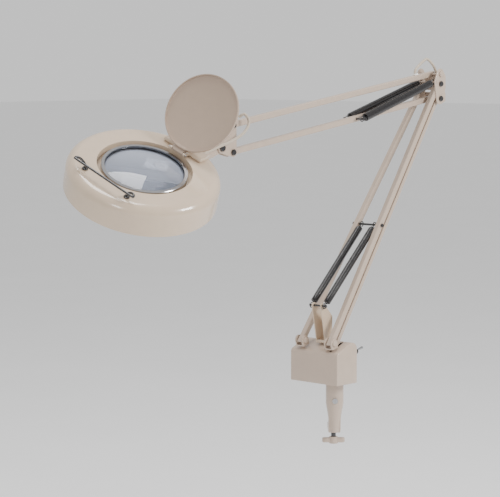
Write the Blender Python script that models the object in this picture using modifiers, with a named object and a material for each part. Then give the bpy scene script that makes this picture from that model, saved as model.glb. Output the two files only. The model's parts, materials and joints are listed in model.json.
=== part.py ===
"""Spring-balanced magnifying lamp on a C-clamp: head, two parallel-link arms, base and clamp."""
import math

import bpy
import bmesh
from mathutils import Matrix, Vector

# ---------------------------------------------------------------- driving dimensions (metres)
GAP = 0.0003                     # clearance between pieces that rest on each other
HOUSING_WIDTH = 0.100            # along Y
HOUSING_FRONT, HOUSING_BACK = 0.026, -0.024
FRONT_HEIGHT, BACK_HEIGHT = 0.054, 0.067
WALL = 0.0015

ARM_LOWER, ARM_UPPER = 0.510, 0.505    # pivot to pivot
LOWER_LEAN, UPPER_DROP = 0.62, 0.15    # radians from vertical, and below horizontal
BAR = 0.0095                     # square tube
BAR_WALL = 0.0011
BASE_SPREAD, ELBOW_SPREAD = 0.031, 0.0145   # half distance between the lower bars
BOLT_R, HOLE_R, BOLT_HEAD_R = 0.0025, 0.0029, 0.0048
LINK_DROP = 0.025                # main pivot to link pivot, at both ends
TOP_RISE = 0.0165                # elbow main pivot to the upper link's pivot
SPRING_R_LOWER, SPRING_R_UPPER = 0.0058, 0.0068
CORD_R = 0.00225

SHADE_R, SHADE_H, SHADE_ROUND = 0.115, 0.0446, 0.016
RECESS_R, LENS_R, RING_R = 0.0712, 0.0600, 0.0646
NECK_LENGTH = 0.1668             # pitch pivot to the middle of the shade
HEAD_PITCH, HEAD_ROLL = math.radians(14.4), math.radians(-27.0)
COVER_R, COVER_OPEN = 0.0605, math.radians(127.0)
TUBE_MAJOR, TUBE_R = 0.0885, 0.0145    # circular fluorescent tube
TOGGLE_RISE = 0.2126             # slope of the switched-on toggle, 12 degrees

CORD_EXIT = Vector((-0.0080, 0.0168, 0.0668))   # cord gland on top of the housing
CLAMP_YAW = 0.75                 # clamp's spine, about the spindle, from +X
SPINDLE_X, SPINDLE_Y = -0.014, 0.011
SPINE_R, JAW_REACH, SCREW_OFFSET = 0.0145, 0.052, 0.040
SCREW_R, PAD_TOP = 0.0042, -0.031
JAW_DROP = 0.018                 # housing underside to the upper jaw's underside

# ---------------------------------------------------------------- frames and pivot points
# The origin is on the upper jaw's underside, over the screw; BASE is the housing's underside.
BASE = Matrix.Translation((SCREW_OFFSET * math.cos(CLAMP_YAW) - SPINDLE_X,
                           SCREW_OFFSET * math.sin(CLAMP_YAW) - SPINDLE_Y, JAW_DROP))
PIVOT = Vector((0.020, 0.0, 0.0675))
LOWER_DIR = Vector((-math.sin(LOWER_LEAN), 0.0, math.cos(LOWER_LEAN)))
UPPER_DIR = Vector((math.cos(UPPER_DROP), 0.0, -math.sin(UPPER_DROP)))
ELBOW = PIVOT + ARM_LOWER * LOWER_DIR
ELBOW_LOW = ELBOW - Vector((0, 0, LINK_DROP))
ELBOW_TOP = ELBOW + Vector((0, 0, TOP_RISE))
HEAD_LOW = ELBOW_LOW + ARM_UPPER * UPPER_DIR
HEAD_TOP = ELBOW_TOP + ARM_UPPER * UPPER_DIR
PITCH_PIVOT = HEAD_LOW + Vector((0.0245, 0, 0.0075))
LOWER_PIN = PIVOT + 0.225 * LOWER_DIR
ANCHOR = Vector((0.0155, 0.0, 0.126))
UPPER_PIN = ELBOW_LOW + 0.205 * UPPER_DIR
ELBOW_PIN = ELBOW + Vector((0.010, 0, 0.003))
NECK = BASE @ Matrix.Translation(PITCH_PIVOT) @ Matrix.Rotation(HEAD_PITCH, 4, "Y")
HEAD = (NECK @ Matrix.Rotation(HEAD_ROLL, 4, "X")
        @ Matrix.Translation((NECK_LENGTH, 0, SHADE_H / 2)))
HINGE_X, HINGE_Z = -0.0690, 0.0045
COVER = HEAD @ Matrix.Translation((HINGE_X, 0, HINGE_Z)) @ Matrix.Rotation(-COVER_OPEN, 4, "Y")
CLAMP = BASE @ Matrix.Translation((SPINDLE_X, SPINDLE_Y, 0)) @ Matrix.Rotation(math.pi + CLAMP_YAW, 4, "Z")
UPRIGHT = Matrix.Rotation(math.pi / 2, 4, "X")    # turns an XY outline into an XZ one

COLOURS = {
    "cream_paint": ((0.78, 0.70, 0.62), 0.35, 0.0),
    "beige_paint": ((0.66, 0.58, 0.51), 0.40, 0.0),
    "tan_plastic": ((0.58, 0.49, 0.43), 0.45, 0.0),
    "dark_steel": ((0.05, 0.05, 0.06), 0.30, 1.0),
    "bright_steel": ((0.62, 0.62, 0.64), 0.25, 1.0),
    "lens_glass": ((0.70, 0.78, 0.84), 0.05, 0.0),
    "tube_glass": ((0.92, 0.92, 0.90), 0.25, 0.0),
    "black_rubber": ((0.03, 0.03, 0.03), 0.70, 0.0),
    "white_plastic": ((0.85, 0.84, 0.80), 0.40, 0.0),
    "cord_jacket": ((0.60, 0.56, 0.50), 0.55, 0.0),
}


# ---------------------------------------------------------------- helpers
def clear_scene():
    for obj in list(bpy.data.objects):
        bpy.data.objects.remove(obj, do_unlink=True)


def collection(name):
    found = bpy.data.collections.get(name) or bpy.data.collections.new(name)
    if found.name not in bpy.context.scene.collection.children:
        bpy.context.scene.collection.children.link(found)
    return found


def material(name):
    mat = bpy.data.materials.get(name)
    if mat is None:
        mat = bpy.data.materials.new(name)
        mat.use_nodes = True
        colour, roughness, metallic = COLOURS[name]
        bsdf = mat.node_tree.nodes["Principled BSDF"]
        bsdf.inputs["Base Color"].default_value = (*colour, 1.0)
        bsdf.inputs["Roughness"].default_value = roughness
        bsdf.inputs["Metallic"].default_value = metallic
    return mat


def add_object(name, data, frame, mat):
    """Link data as a part, or as a hidden cutter where mat is None."""
    obj = bpy.data.objects.new(name, data)
    obj.matrix_world = frame
    if mat is None:
        collection("cutters").objects.link(obj)
        obj.hide_render = True
        obj.display_type = "WIRE"
    else:
        collection("magnifying_lamp").objects.link(obj)
        data.materials.append(material(mat))
    return obj


def shade(obj, angle=35.0):
    obj.data.shade_smooth()
    obj.data.set_sharp_from_angle(angle=math.radians(angle))
    return obj


def bevel(obj, width, segments=1):
    mod = obj.modifiers.new("bevel", "BEVEL")
    mod.width = width
    mod.segments = segments
    mod.limit_method = "ANGLE"
    return obj


def block(name, size, centre, frame, mat, edge=0.0):
    bm = bmesh.new()
    bmesh.ops.create_cube(bm, size=1.0)
    bmesh.ops.scale(bm, vec=size, verts=bm.verts)
    mesh = bpy.data.meshes.new(name)
    bm.to_mesh(mesh)
    bm.free()
    obj = add_object(name, mesh, frame @ Matrix.Translation(centre), mat)
    return bevel(obj, edge) if edge else obj


def along(start, end):
    """Frame at start whose Z runs to end and whose Y stays near the lateral axis."""
    z_axis = (Vector(end) - Vector(start)).normalized()
    helper = Vector((0, 1, 0)) if abs(z_axis.y) < 0.9 else Vector((1, 0, 0))
    x_axis = helper.cross(z_axis).normalized()
    y_axis = z_axis.cross(x_axis)
    rotation = Matrix((x_axis, y_axis, z_axis)).transposed().to_4x4()
    return Matrix.Translation(start) @ rotation


def lathe(name, profile, frame, mat, steps=16, ring=False):
    """Turn (radius, height) points about Z; a ring profile is a closed loop."""
    mesh = bpy.data.meshes.new(name)
    count = len(profile)
    edges = [(i, i + 1) for i in range(count - 1)]
    if ring:
        edges.append((count - 1, 0))
    mesh.from_pydata([(r, 0, z) for r, z in profile], edges, [])
    obj = add_object(name, mesh, frame, mat)
    mod = obj.modifiers.new("turn", "SCREW")
    mod.axis = "Z"
    mod.steps = mod.render_steps = steps
    mod.use_merge_vertices = True
    mod.merge_threshold = 0.00001
    mod.use_smooth_shade = True
    return obj


def rod(name, radius, start, end, frame, mat, steps=12):
    length = (Vector(end) - Vector(start)).length
    profile = [(0, length), (radius, length), (radius, 0), (0, 0)]
    return lathe(name, profile, frame @ along(start, end), mat, steps)


def bolt(name, start, end, frame, mat="dark_steel", head=BOLT_HEAD_R):
    """Shank from start to end with a head beyond each end, one turned solid."""
    length = (Vector(end) - Vector(start)).length
    thick = 0.0028
    profile = [(0, length + thick), (head * 0.8, length + thick), (head, length + thick * 0.7),
               (head, length), (BOLT_R, length), (BOLT_R, 0),
               (head, 0), (head, -thick), (0, -thick)]
    return lathe(name, profile, frame @ along(start, end), mat, 8)


def outline_plate(name, points, thickness, frame, mat, edge=0.0):
    """Flat XZ outline extruded along Y, both ways from the frame's plane."""
    curve = bpy.data.curves.new(name + "_outline", "CURVE")
    curve.dimensions = "2D"
    curve.fill_mode = "BOTH"
    curve.extrude = thickness / 2
    spline = curve.splines.new("POLY")
    spline.points.add(len(points) - 1)
    for point, (x, z) in zip(spline.points, points):
        point.co = (x, z, 0, 1)
    spline.use_cyclic_u = True
    return as_mesh(name, curve, frame @ UPRIGHT, mat, edge)


def as_mesh(name, curve, frame, mat, edge=0.0):
    """Turn a curve into a welded mesh object."""
    source = bpy.data.objects.new(name + "_curve", curve)
    bpy.context.scene.collection.objects.link(source)
    depsgraph = bpy.context.evaluated_depsgraph_get()
    mesh = bpy.data.meshes.new_from_object(source.evaluated_get(depsgraph))
    bpy.data.objects.remove(source, do_unlink=True)
    bm = bmesh.new()
    bm.from_mesh(mesh)
    bmesh.ops.remove_doubles(bm, verts=bm.verts, dist=0.00001)
    bmesh.ops.dissolve_limit(bm, angle_limit=0.01, verts=bm.verts, edges=bm.edges)
    bmesh.ops.recalc_face_normals(bm, faces=bm.faces)
    bm.to_mesh(mesh)
    bm.free()
    mesh.materials.clear()
    obj = add_object(name, mesh, frame, mat)
    return bevel(obj, edge) if edge else obj


def hull(circles, steps=20):
    """Convex outline round a set of (x, z, radius) circles."""
    points = sorted((x + r * math.cos(2 * math.pi * i / steps),
                     z + r * math.sin(2 * math.pi * i / steps))
                    for x, z, r in circles for i in range(steps))

    def half(sequence):
        chain = []
        for p in sequence:
            while len(chain) > 1 and turn(chain[-2], chain[-1], p) <= 1e-10:
                chain.pop()
            chain.append(p)
        return chain[:-1]

    def turn(a, b, c):
        return (b[0] - a[0]) * (c[1] - a[1]) - (b[1] - a[1]) * (c[0] - a[0])

    return half(points) + half(reversed(points))


def smooth_route(route, step=0.012):
    """Points along a Catmull-Rom curve through the route."""
    knots = [Vector(p) for p in route]
    knots = [2 * knots[0] - knots[1]] + knots + [2 * knots[-1] - knots[-2]]
    points = []
    for a, b, c, d in zip(knots, knots[1:], knots[2:], knots[3:]):
        count = max(2, round((c - b).length / step))
        for i in range(count):
            t = i / count
            points.append(0.5 * (2 * b + (c - a) * t + (2 * a - 5 * b + 4 * c - d) * t * t
                                 + (3 * b - 3 * c + d - a) * t ** 3))
    return points + [knots[-2]]


def wire(name, route, radius, frame, mat, smooth=True, sides=2):
    curve = bpy.data.curves.new(name, "CURVE")
    curve.dimensions = "3D"
    curve.bevel_depth = radius
    curve.bevel_resolution = sides
    curve.use_fill_caps = True
    points = smooth_route(route) if smooth else [Vector(p) for p in route]
    spline = curve.splines.new("POLY")
    spline.points.add(len(points) - 1)
    for point, co in zip(spline.points, points):
        point.co = (*co, 1)
    return as_mesh(name, curve, frame, mat)


def boolean(obj, other, operation="DIFFERENCE"):
    mod = obj.modifiers.new(operation.lower(), "BOOLEAN")
    mod.operation = operation
    mod.solver = "EXACT"
    mod.object = other
    return obj


def drill(obj, radius, start, end, frame):
    sides = 8 if radius < 0.004 else 16
    return boolean(obj, rod(obj.name + "_hole", radius, start, end, frame, None, sides))


def lateral(point, y):
    return Vector((point[0], y, point[2]))


# ---------------------------------------------------------------- clamp
def build_clamp():
    top, jaw, low = -0.0043, -JAW_DROP, -0.087
    outline = [(-SPINE_R * 0.55, top - 0.0006), (JAW_REACH, top - 0.002), (JAW_REACH, jaw), (0.016, jaw),
               (0.0125, jaw - 0.004), (0.0125, -0.071), (0.016, -0.075), (JAW_REACH, -0.077),
               (JAW_REACH, low), (0.004, low), (-0.004, -0.078), (-0.008, -0.050)]
    frame = outline_plate("clamp_frame", outline, 0.020, CLAMP, "beige_paint", 0.0016)
    spine = lathe("clamp_spine", [(0, top), (SPINE_R, top), (SPINE_R, -0.036), (0.0105, -0.060),
                                  (0.0068, low + 0.002), (0, low + 0.002)], CLAMP, None, 22)
    boolean(frame, spine, "UNION")
    drill(frame, 0.0066, (0, 0, -0.060), (0, 0, 0.01), CLAMP)
    drill(frame, SCREW_R + 0.0004, (SCREW_OFFSET, 0, -0.10), (SCREW_OFFSET, 0, -0.060), CLAMP)
    drill(frame, 0.0030, (-0.030, 0, -0.031), (-0.002, 0, -0.031), CLAMP)
    screw = [(0, 0.0114), (0.0026, 0.0114), (0.0026, 0.0030), (0.0044, 0.0030), (0.0044, 0), (0, 0)]
    at_spine = CLAMP @ along((-0.0180, 0, -0.031), (0, 0, -0.031))
    slotted = lathe("set_screw", screw, at_spine, "bright_steel", 14)
    boolean(slotted, block("slot_cut", (0.012, 0.0011, 0.0024), (0, 0, 0), at_spine, None))
    disc = [(0.0068, -0.0003), (0.0210, -0.0003), (0.0215, -0.0010), (0.0215, -0.0040),
            (0.0068, -0.0040)]
    lathe("swivel_washer", disc, CLAMP, "beige_paint", 24, ring=True)


def build_clamp_screw():
    at = CLAMP @ Matrix.Translation((SCREW_OFFSET, 0, 0))
    knob_top = -0.100
    root, crest, pitch = SCREW_R * 0.86, SCREW_R, 0.004
    shank = [(0, PAD_TOP - 0.0035), (0.0026, PAD_TOP - 0.0035), (0.0026, PAD_TOP - 0.0090)]
    height = PAD_TOP - 0.0100
    while height > knob_top + 0.008:
        shank += [(root, height), (crest, height - pitch / 2)]
        height -= pitch
    shank += [(SCREW_R, knob_top + 0.004), (SCREW_R, knob_top - 0.010), (0, knob_top - 0.010)]
    lathe("clamp_screw", shank, at, "dark_steel", 12)
    knob = hull([(0, 0, 0.0075)], 16)
    hub = outline_plate("clamp_knob", knob, 0.0115, at @ Matrix.Translation((0, 0, knob_top - 0.0055))
                        @ Matrix.Rotation(math.pi / 2, 4, "X"), "beige_paint", 0.0012)
    wing_outline = hull([(0.0140, 0, 0.0048), (-0.0140, 0, 0.0048)], 14)
    wings = outline_plate("knob_wings", wing_outline, 0.0080,
                          at @ Matrix.Translation((0, 0, knob_top - 0.0055))
                          @ Matrix.Rotation(math.pi / 2, 4, "Z")
                          @ Matrix.Rotation(math.pi / 2, 4, "X"), None, 0.0015)
    boolean(hub, wings, "UNION")
    drill(hub, SCREW_R + 2 * GAP, (0, 0, knob_top - 0.010 - GAP), (0, 0, knob_top + 0.01), at)
    pad = [(0, PAD_TOP), (0.0105, PAD_TOP), (0.0115, PAD_TOP - 0.0010), (0.0115, PAD_TOP - 0.0032),
           (0.0055, PAD_TOP - 0.0070), (0.0032, PAD_TOP - 0.0070), (0.0032, PAD_TOP - 0.0032),
           (0, PAD_TOP - 0.0032)]
    lathe("clamp_pad", pad, at, "bright_steel", 20)


# ---------------------------------------------------------------- base housing
def housing_outline(inset, bottom):
    front, back = HOUSING_FRONT - inset, HOUSING_BACK + inset
    r_front, r_back = 0.007 - inset * 0.6, 0.012 - inset * 0.6
    top_front = FRONT_HEIGHT - inset
    top_back = BACK_HEIGHT - inset
    arc = hull([(front - r_front, top_front - r_front, r_front),
                (back + r_back, top_back - r_back, r_back),
                (front - 0.001, bottom + 0.001, 0.001), (back + 0.001, bottom + 0.001, 0.001)], 14)
    return arc


def build_housing():
    shell = outline_plate("base_housing", housing_outline(0, 0), HOUSING_WIDTH, BASE,
                          "beige_paint", 0.0030)
    inner = outline_plate("housing_inside", housing_outline(WALL, -0.020),
                          HOUSING_WIDTH - 2 * WALL, BASE, None, 0.0020)
    boolean(shell, inner)
    slot = block("link_slot", (0.0438, 0.0066, 0.040), (-0.0001, BASE_SPREAD, 0.070), BASE, None)
    boolean(shell, slot)
    drill(shell, 0.0036, CORD_EXIT - Vector((0, 0, 0.020)), CORD_EXIT + Vector((0, 0, 0.010)), BASE)
    drill(shell, 0.0036, (-0.035, 0.042, 0.050), (-0.015, 0.042, 0.050), BASE)
    plate = block("base_plate", (0.0440, 0.0940, 0.0018), (0.001, 0, 0.0012), BASE, "dark_steel")
    drill(plate, 0.0046, (SPINDLE_X, SPINDLE_Y, -0.01), (SPINDLE_X, SPINDLE_Y, 0.01), BASE)
    spindle = [(0, 0.0085), (0.0042, 0.0085), (0.0042, 0.0060), (0.0074, 0.0060), (0.0074, 0.0024),
               (0.0042, 0.0024), (0.0042, 0.0000), (0.0060, 0.0000), (0.0060, -0.0545), (0.0050, -0.0555), (0, -0.0555)]
    at_spindle = BASE @ Matrix.Translation((SPINDLE_X, SPINDLE_Y, 0))
    lathe("spindle", spindle, at_spindle, "bright_steel", 16)
    for side, label in ((-1, "left"), (1, "right")):
        build_yoke(label, side)


def build_yoke(label, side):
    """Two ears either side of a lower bar, joined by a foot in front and by the pivot rivet."""
    y = side * BASE_SPREAD
    at = BASE @ Matrix.Translation((0, y, 0))
    foot = [(0.0236, 0.0587, 0.0016), (0.0125, 0.0615, 0.0016)]
    outline = hull([(PIVOT.x, PIVOT.z, 0.0078)] + foot, 24)
    ears = outline_plate("pivot_yoke_" + label, outline, 0.0158, at, "beige_paint")
    boolean(ears, block("yoke_gap_" + label, (0.060, 0.0118, 0.030), (0.015, 0, 0.0744), at, None))
    boolean(ears, block("yoke_link_gap_" + label, (0.030, 0.0118, 0.030), (0.0040, 0, 0.0600), at,
                        None))
    ends = (PIVOT.x, -0.0076, PIVOT.z), (PIVOT.x, 0.0076, PIVOT.z)
    boolean(ears, bolt("pivot_rivet_" + label, *ends, at, None), "UNION")


def build_inside_base():
    """Ballast, terminals and the link's lug, all inside the housing."""
    ballast = block("ballast", (0.026, 0.052, 0.030), (0.0078, -0.018, 0.0180), BASE,
                    "bright_steel", 0.0015)
    boolean(ballast, block("ballast_winding", (0.016, 0.040, 0.016), (0.0078, -0.018, 0.0360),
                           BASE, None, 0.0030), "UNION")
    block("terminal_block", (0.008, 0.018, 0.010), (-0.016, -0.034, 0.0080), BASE,
          "white_plastic", 0.0010)
    link_pivot = PIVOT - Vector((0, 0, LINK_DROP))
    lug = outline_plate("link_lug", hull([(link_pivot.x - 0.001, link_pivot.z, 0.0042),
                                          (0.0140, 0.0052, 0.002), (0.0220, 0.0052, 0.002)], 16),
                        0.0020, BASE @ Matrix.Translation((0, 0.0375, 0)), "bright_steel")
    drill(lug, HOLE_R, (link_pivot.x, 0.03, link_pivot.z), (link_pivot.x, 0.045, link_pivot.z), BASE)
    bolt("link_pin", (link_pivot.x, BASE_SPREAD - 0.0020, link_pivot.z),
         (link_pivot.x, 0.0389, link_pivot.z), BASE, head=0.0038)


def build_spring_bracket():
    outline = hull([(ANCHOR.x, ANCHOR.z, 0.0048), (-0.0045, 0.106, 0.0040),
                    (-0.0065, 0.0692, 0.0022), (0.0060, 0.0656, 0.0022)], 14)
    bracket = outline_plate("spring_bracket", outline, 0.0200, BASE, "cream_paint")
    boolean(bracket, block("bracket_channel", (0.040, 0.0168, 0.080), (0.0135, 0, 0.1090),
                           BASE, None))
    drill(bracket, 0.0021, lateral(ANCHOR, -0.02), lateral(ANCHOR, 0.02), BASE)
    bolt_pin = [(0, 0.0340), (0.0026, 0.0340), (0.0026, 0.0325), (0.0017, 0.0320),
                (0.0017, 0.0020), (0.0026, 0.0015), (0.0026, 0), (0, 0)]
    lathe("spring_anchor_pin", bolt_pin, BASE @ along(lateral(ANCHOR, -0.017),
                                                      lateral(ANCHOR, 0.017)), "dark_steel", 12)


def build_switch():
    centre = Vector((HOUSING_BACK, 0.042, 0.050))
    bush = [(0.0032, 0.0075), (0.0044, 0.0075), (0.0044, 0.0045), (0.0056, 0.0045),
            (0.0056, 0.0020), (0.0056, GAP), (0.0033, GAP), (0.0033, -0.0060), (0.0060, -0.0060),
            (0.0060, -0.0100), (0.0031, -0.0100), (0.0016, 0)]
    at = BASE @ along(centre, centre + Vector((-1, 0, 0)))
    lathe("switch_body", bush, at, "dark_steel", 12, ring=True)
    toggle = [(0, 0.0240), (0.0014, 0.0240), (0.0024, 0.0225), (0.0022, 0.0190), (0.0011, 0.0100),
              (0.0011, -0.0042), (0, -0.0042)]
    swing = BASE @ along(centre, centre + Vector((-1, 0, TOGGLE_RISE)))
    lathe("switch_toggle", toggle, swing, "bright_steel", 16)


# ---------------------------------------------------------------- arms
def square_tube(name, start, end, mat, overhang=0.006):
    """Square tube from pivot to pivot, open at both ends."""
    at = BASE @ along(start, end)
    length = (Vector(end) - Vector(start)).length
    middle = (0, 0, length / 2)
    bar = block(name, (BAR, BAR, length + 2 * overhang), middle, at, mat, 0.0010)
    inner = BAR - 2 * BAR_WALL
    boolean(bar, block(name + "_bore", (inner, inner, length + 0.040), middle, at, None))
    for centre in (start, end):
        drill(bar, HOLE_R, Vector(centre) - Vector((0, 0.01, 0)),
              Vector(centre) + Vector((0, 0.01, 0)), BASE)
    return bar


def cross_pin(name, centre, half_length):
    ends = lateral(centre, -half_length), lateral(centre, half_length)
    profile = [(0, 2 * half_length), (0.0030, 2 * half_length), (0.0030, 2 * half_length - 0.0018),
               (0.0019, 2 * half_length - 0.0020), (0.0019, 0.0020), (0.0030, 0.0018),
               (0.0030, 0), (0, 0)]
    return lathe(name, profile, BASE @ along(*ends), "dark_steel", 14)


def build_lower_arm():
    for side, label in ((-1, "left"), (1, "right")):
        bar = square_tube("lower_bar_" + label, lateral(PIVOT, side * BASE_SPREAD),
                          lateral(ELBOW, side * ELBOW_SPREAD), "beige_paint")
        drill(bar, 0.0022, lateral(LOWER_PIN, side * 0.015), lateral(LOWER_PIN, side * 0.034), BASE)
    cross_pin("lower_cross_pin", LOWER_PIN, 0.0314)
    start = PIVOT - Vector((0, 0, LINK_DROP))
    at = BASE @ along(lateral(start, BASE_SPREAD), lateral(ELBOW_LOW, ELBOW_SPREAD))
    link = outline_plate("control_link", hull([(0, 0, 0.0032), (0, ARM_LOWER + 0.0003, 0.0032)], 16),
                         0.0030, at, "beige_paint")
    for centre, y in ((start, BASE_SPREAD), (ELBOW_LOW, ELBOW_SPREAD)):
        drill(link, 0.0027, lateral(centre, y - 0.01), lateral(centre, y + 0.01), BASE)


def spring(name, start, end, radius, hook):
    """Plain outer shape of a tension spring, clear of the pins its hooks go round."""
    reach = (Vector(end) - Vector(start)).length
    profile = [(0, reach - hook), (radius * 0.6, reach - hook), (radius, reach - hook - 0.003),
               (radius, hook + 0.003), (radius * 0.6, hook), (0, hook)]
    return lathe(name, profile, BASE @ along(start, end), "dark_steel", 12)


def build_springs():
    for side, label in ((-1, "left"), (1, "right")):
        spring("lower_spring_" + label, lateral(ANCHOR, side * 0.0137),
               lateral(LOWER_PIN, side * 0.0137), SPRING_R_LOWER, 0.020)
        spring("upper_spring_" + label, lateral(ELBOW_PIN, side * 0.0135),
               lateral(UPPER_PIN, side * 0.0165), SPRING_R_UPPER, 0.018)


def build_elbow():
    at = BASE @ Matrix.Translation(ELBOW)
    outline = hull([(0, TOP_RISE, 0.0095), (0, 0, 0.0110), (0.001, -LINK_DROP, 0.0100),
                    (0.0105, 0.003, 0.0055), (-0.012, 0.012, 0.0025), (-0.012, -0.028, 0.0025)], 16)
    bracket = outline_plate("elbow_bracket", outline, 0.0440, at, "beige_paint", 0.0008)
    boolean(bracket, block("elbow_channel", (0.060, 0.0406, 0.080), (0.0177, 0, 0), at, None))
    drill(bracket, 0.0065, (-0.0185, -0.03, -LINK_DROP / 2), (-0.0185, 0.03, -LINK_DROP / 2), at)
    for label, height in (("main", 0), ("low", -LINK_DROP), ("top", TOP_RISE)):
        drill(bracket, HOLE_R, (0, -0.03, height), (0, 0.03, height), at)
        bolt("elbow_bolt_" + label, (0, -0.0224, height), (0, 0.0224, height), at)
    pin = ELBOW_PIN - ELBOW
    boolean(bracket, rod("elbow_spring_pin", 0.0019, lateral(pin, -0.0228), lateral(pin, 0.0228), at,
                         None), "UNION")


def build_upper_arm():
    lower = square_tube("upper_arm_bar", ELBOW_LOW, HEAD_LOW, "beige_paint")
    drill(lower, 0.0022, lateral(UPPER_PIN, -0.02), lateral(UPPER_PIN, 0.02), BASE)
    cross_pin("upper_cross_pin", UPPER_PIN, 0.0215)
    link = square_tube("upper_link_bar", ELBOW_TOP, HEAD_TOP, "beige_paint")
    entry = ELBOW_TOP + 0.041 * UPPER_DIR
    normal = Vector((math.sin(UPPER_DROP), 0, math.cos(UPPER_DROP)))
    drill(link, 0.0031, entry, entry + 0.02 * normal, BASE)
    collar = [(0.0034, 0.0030), (0.0042, 0.0030), (0.0048, 0.0012), (0.0048, GAP),
              (0.0034, GAP)]
    at = BASE @ along(entry + BAR / 2 * normal, entry + 0.02 * normal)
    lathe("cord_bush", collar, at, "white_plastic", 12, ring=True)


# ---------------------------------------------------------------- head bracket and neck
def build_head_bracket():
    outline = hull([(HEAD_LOW.x, HEAD_LOW.z, 0.0072), (HEAD_TOP.x, HEAD_TOP.z, 0.0072),
                    (PITCH_PIVOT.x, PITCH_PIVOT.z, 0.0085)], 20)
    bracket = outline_plate("head_bracket", outline, 0.0144, BASE, "beige_paint")
    middle = (HEAD_LOW + HEAD_TOP + PITCH_PIVOT) / 3
    boolean(bracket, block("bracket_gap", (0.100, 0.0112, 0.100), middle, BASE, None))
    spacer = HEAD_TOP + Vector((0.0140, 0, -0.0080))
    boolean(bracket, rod("bracket_spacer", 0.0030, lateral(spacer, -0.0068),
                         lateral(spacer, 0.0068), BASE, None), "UNION")
    for point in (HEAD_LOW, HEAD_TOP, PITCH_PIVOT):
        drill(bracket, HOLE_R, lateral(point, -0.02), lateral(point, 0.02), BASE)
    bolt("head_bolt_low", lateral(HEAD_LOW, -0.0076), lateral(HEAD_LOW, 0.0076), BASE)
    bolt("head_bolt_top", lateral(HEAD_TOP, -0.0076), lateral(HEAD_TOP, 0.0076), BASE)


def build_neck():
    """Tongue between the cheeks, carrying a collar in which the head's stud turns."""
    tongue_outline = hull([(0, 0, 0.0075), (0.0200, 0, 0.0085)], 16)
    tongue = outline_plate("neck_block", tongue_outline, 0.0100, NECK, "beige_paint", 0.0008)
    collar = lathe("neck_collar", [(0, 0.0400), (0.0095, 0.0400), (0.0105, 0.0390),
                                   (0.0105, 0.0185), (0.0095, 0.0175), (0, 0.0175)],
                   NECK @ along((0, 0, 0), (1, 0, 0)), None, 18)
    boolean(tongue, collar, "UNION")
    drill(tongue, 0.0062, (0.0190, 0, 0), (0.050, 0, 0), NECK)
    drill(tongue, HOLE_R, (0, -0.02, 0), (0, 0.02, 0), NECK)
    bolt("pitch_bolt", (0, -0.0076, 0), (0, 0.0076, 0), NECK, head=0.0055)
    shell_x = NECK_LENGTH - SHADE_R
    stud = [(0, shell_x + 0.012), (0.0058, shell_x + 0.012), (0.0058, 0.0200), (0, 0.0200)]
    lathe("neck_stud", stud, NECK @ along((0, 0, 0), (1, 0, 0)), "bright_steel", 16)
    flange = [(0.0061, shell_x - 0.0005), (0.0130, shell_x - 0.0005), (0.0130, shell_x - 0.0030),
              (0.0100, shell_x - 0.0055), (0.0061, shell_x - 0.0055)]
    lathe("neck_flange", flange, NECK @ along((0, 0, 0), (1, 0, 0)), "beige_paint", 20, ring=True)
    nut = [(0.0063, shell_x + 0.0085), (0.0100, shell_x + 0.0085), (0.0100, shell_x + 0.0040),
           (0.0063, shell_x + 0.0040)]
    lathe("neck_nut", nut, NECK @ along((0, 0, 0), (1, 0, 0)), "bright_steel", 12, ring=True)


# ---------------------------------------------------------------- head
def arc(cx, cz, radius, first, last, steps=4):
    """Points on an arc, angles in degrees."""
    span = [math.radians(first + (last - first) * i / steps) for i in range(steps + 1)]
    return [(cx + radius * math.cos(a), cz + radius * math.sin(a)) for a in span]


def build_shade():
    flat = SHADE_R - SHADE_ROUND
    ledge = -0.0110
    profile = [(RECESS_R, 0)] + arc(flat, -SHADE_ROUND, SHADE_ROUND, 90, 0)
    profile += [(SHADE_R, -SHADE_H), (SHADE_R - WALL, -SHADE_H)]
    profile += arc(flat, -SHADE_ROUND, SHADE_ROUND - WALL, 0, 90)
    profile += [(RECESS_R + WALL, -WALL), (RECESS_R + WALL, ledge - WALL),
                (LENS_R - 0.0025, ledge - WALL), (LENS_R - 0.0025, ledge), (RECESS_R, ledge)]
    shell = lathe("shade", profile, HEAD, "cream_paint", 36, ring=True)
    drill(shell, 0.0061, (-SHADE_R - 0.01, 0, -SHADE_H / 2), (-SHADE_R + 0.01, 0, -SHADE_H / 2), HEAD)


def build_reflector():
    profile = [(RECESS_R + 0.0025, -0.0040), (0.0980, -0.0040), (0.1105, -0.0170),
                 (0.1105, -0.0320), (0.1098, -0.0320), (0.1098, -0.0172), (0.0976, -0.0047),
                 (RECESS_R + 0.0025, -0.0047)]
    trim = lathe("reflector", profile, HEAD, "white_plastic", 28, ring=True)
    boolean(trim, block("reflector_notch", (0.020, 0.026, 0.030), (-0.111, 0, -0.0240), HEAD, None))
    return trim


def build_lens():
    rim_low, rim_high = -0.0107, -0.0075
    top = [(LENS_R * i / 5, 0.0005 + (rim_high - 0.0005) * (i / 5) ** 2) for i in range(6)]
    neck = LENS_R - 0.0029
    bottom = [(neck * i / 4, -0.0175 + (rim_low - 0.0020 + 0.0175) * (i / 4) ** 2)
              for i in range(4, -1, -1)]
    profile = top + [(LENS_R, rim_low), (neck, rim_low)] + bottom
    lathe("lens", profile, HEAD, "lens_glass", 28)
    gasket = [(LENS_R + GAP, -0.0050), (LENS_R + 0.0020, -0.0050), (LENS_R + 0.0020, rim_low),
              (LENS_R + GAP, rim_low)]
    lathe("lens_gasket", gasket, HEAD, "black_rubber", 28, ring=True)
    ring = [(LENS_R - 0.0005, -0.0020), (RING_R - 0.0006, -0.0020), (RING_R, -0.0026),
            (RING_R, rim_low), (LENS_R + 0.0023, rim_low), (LENS_R + 0.0023, -0.0045),
            (LENS_R - 0.0005, -0.0045)]
    lathe("lens_ring", ring, HEAD, "bright_steel", 32, ring=True)


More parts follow.
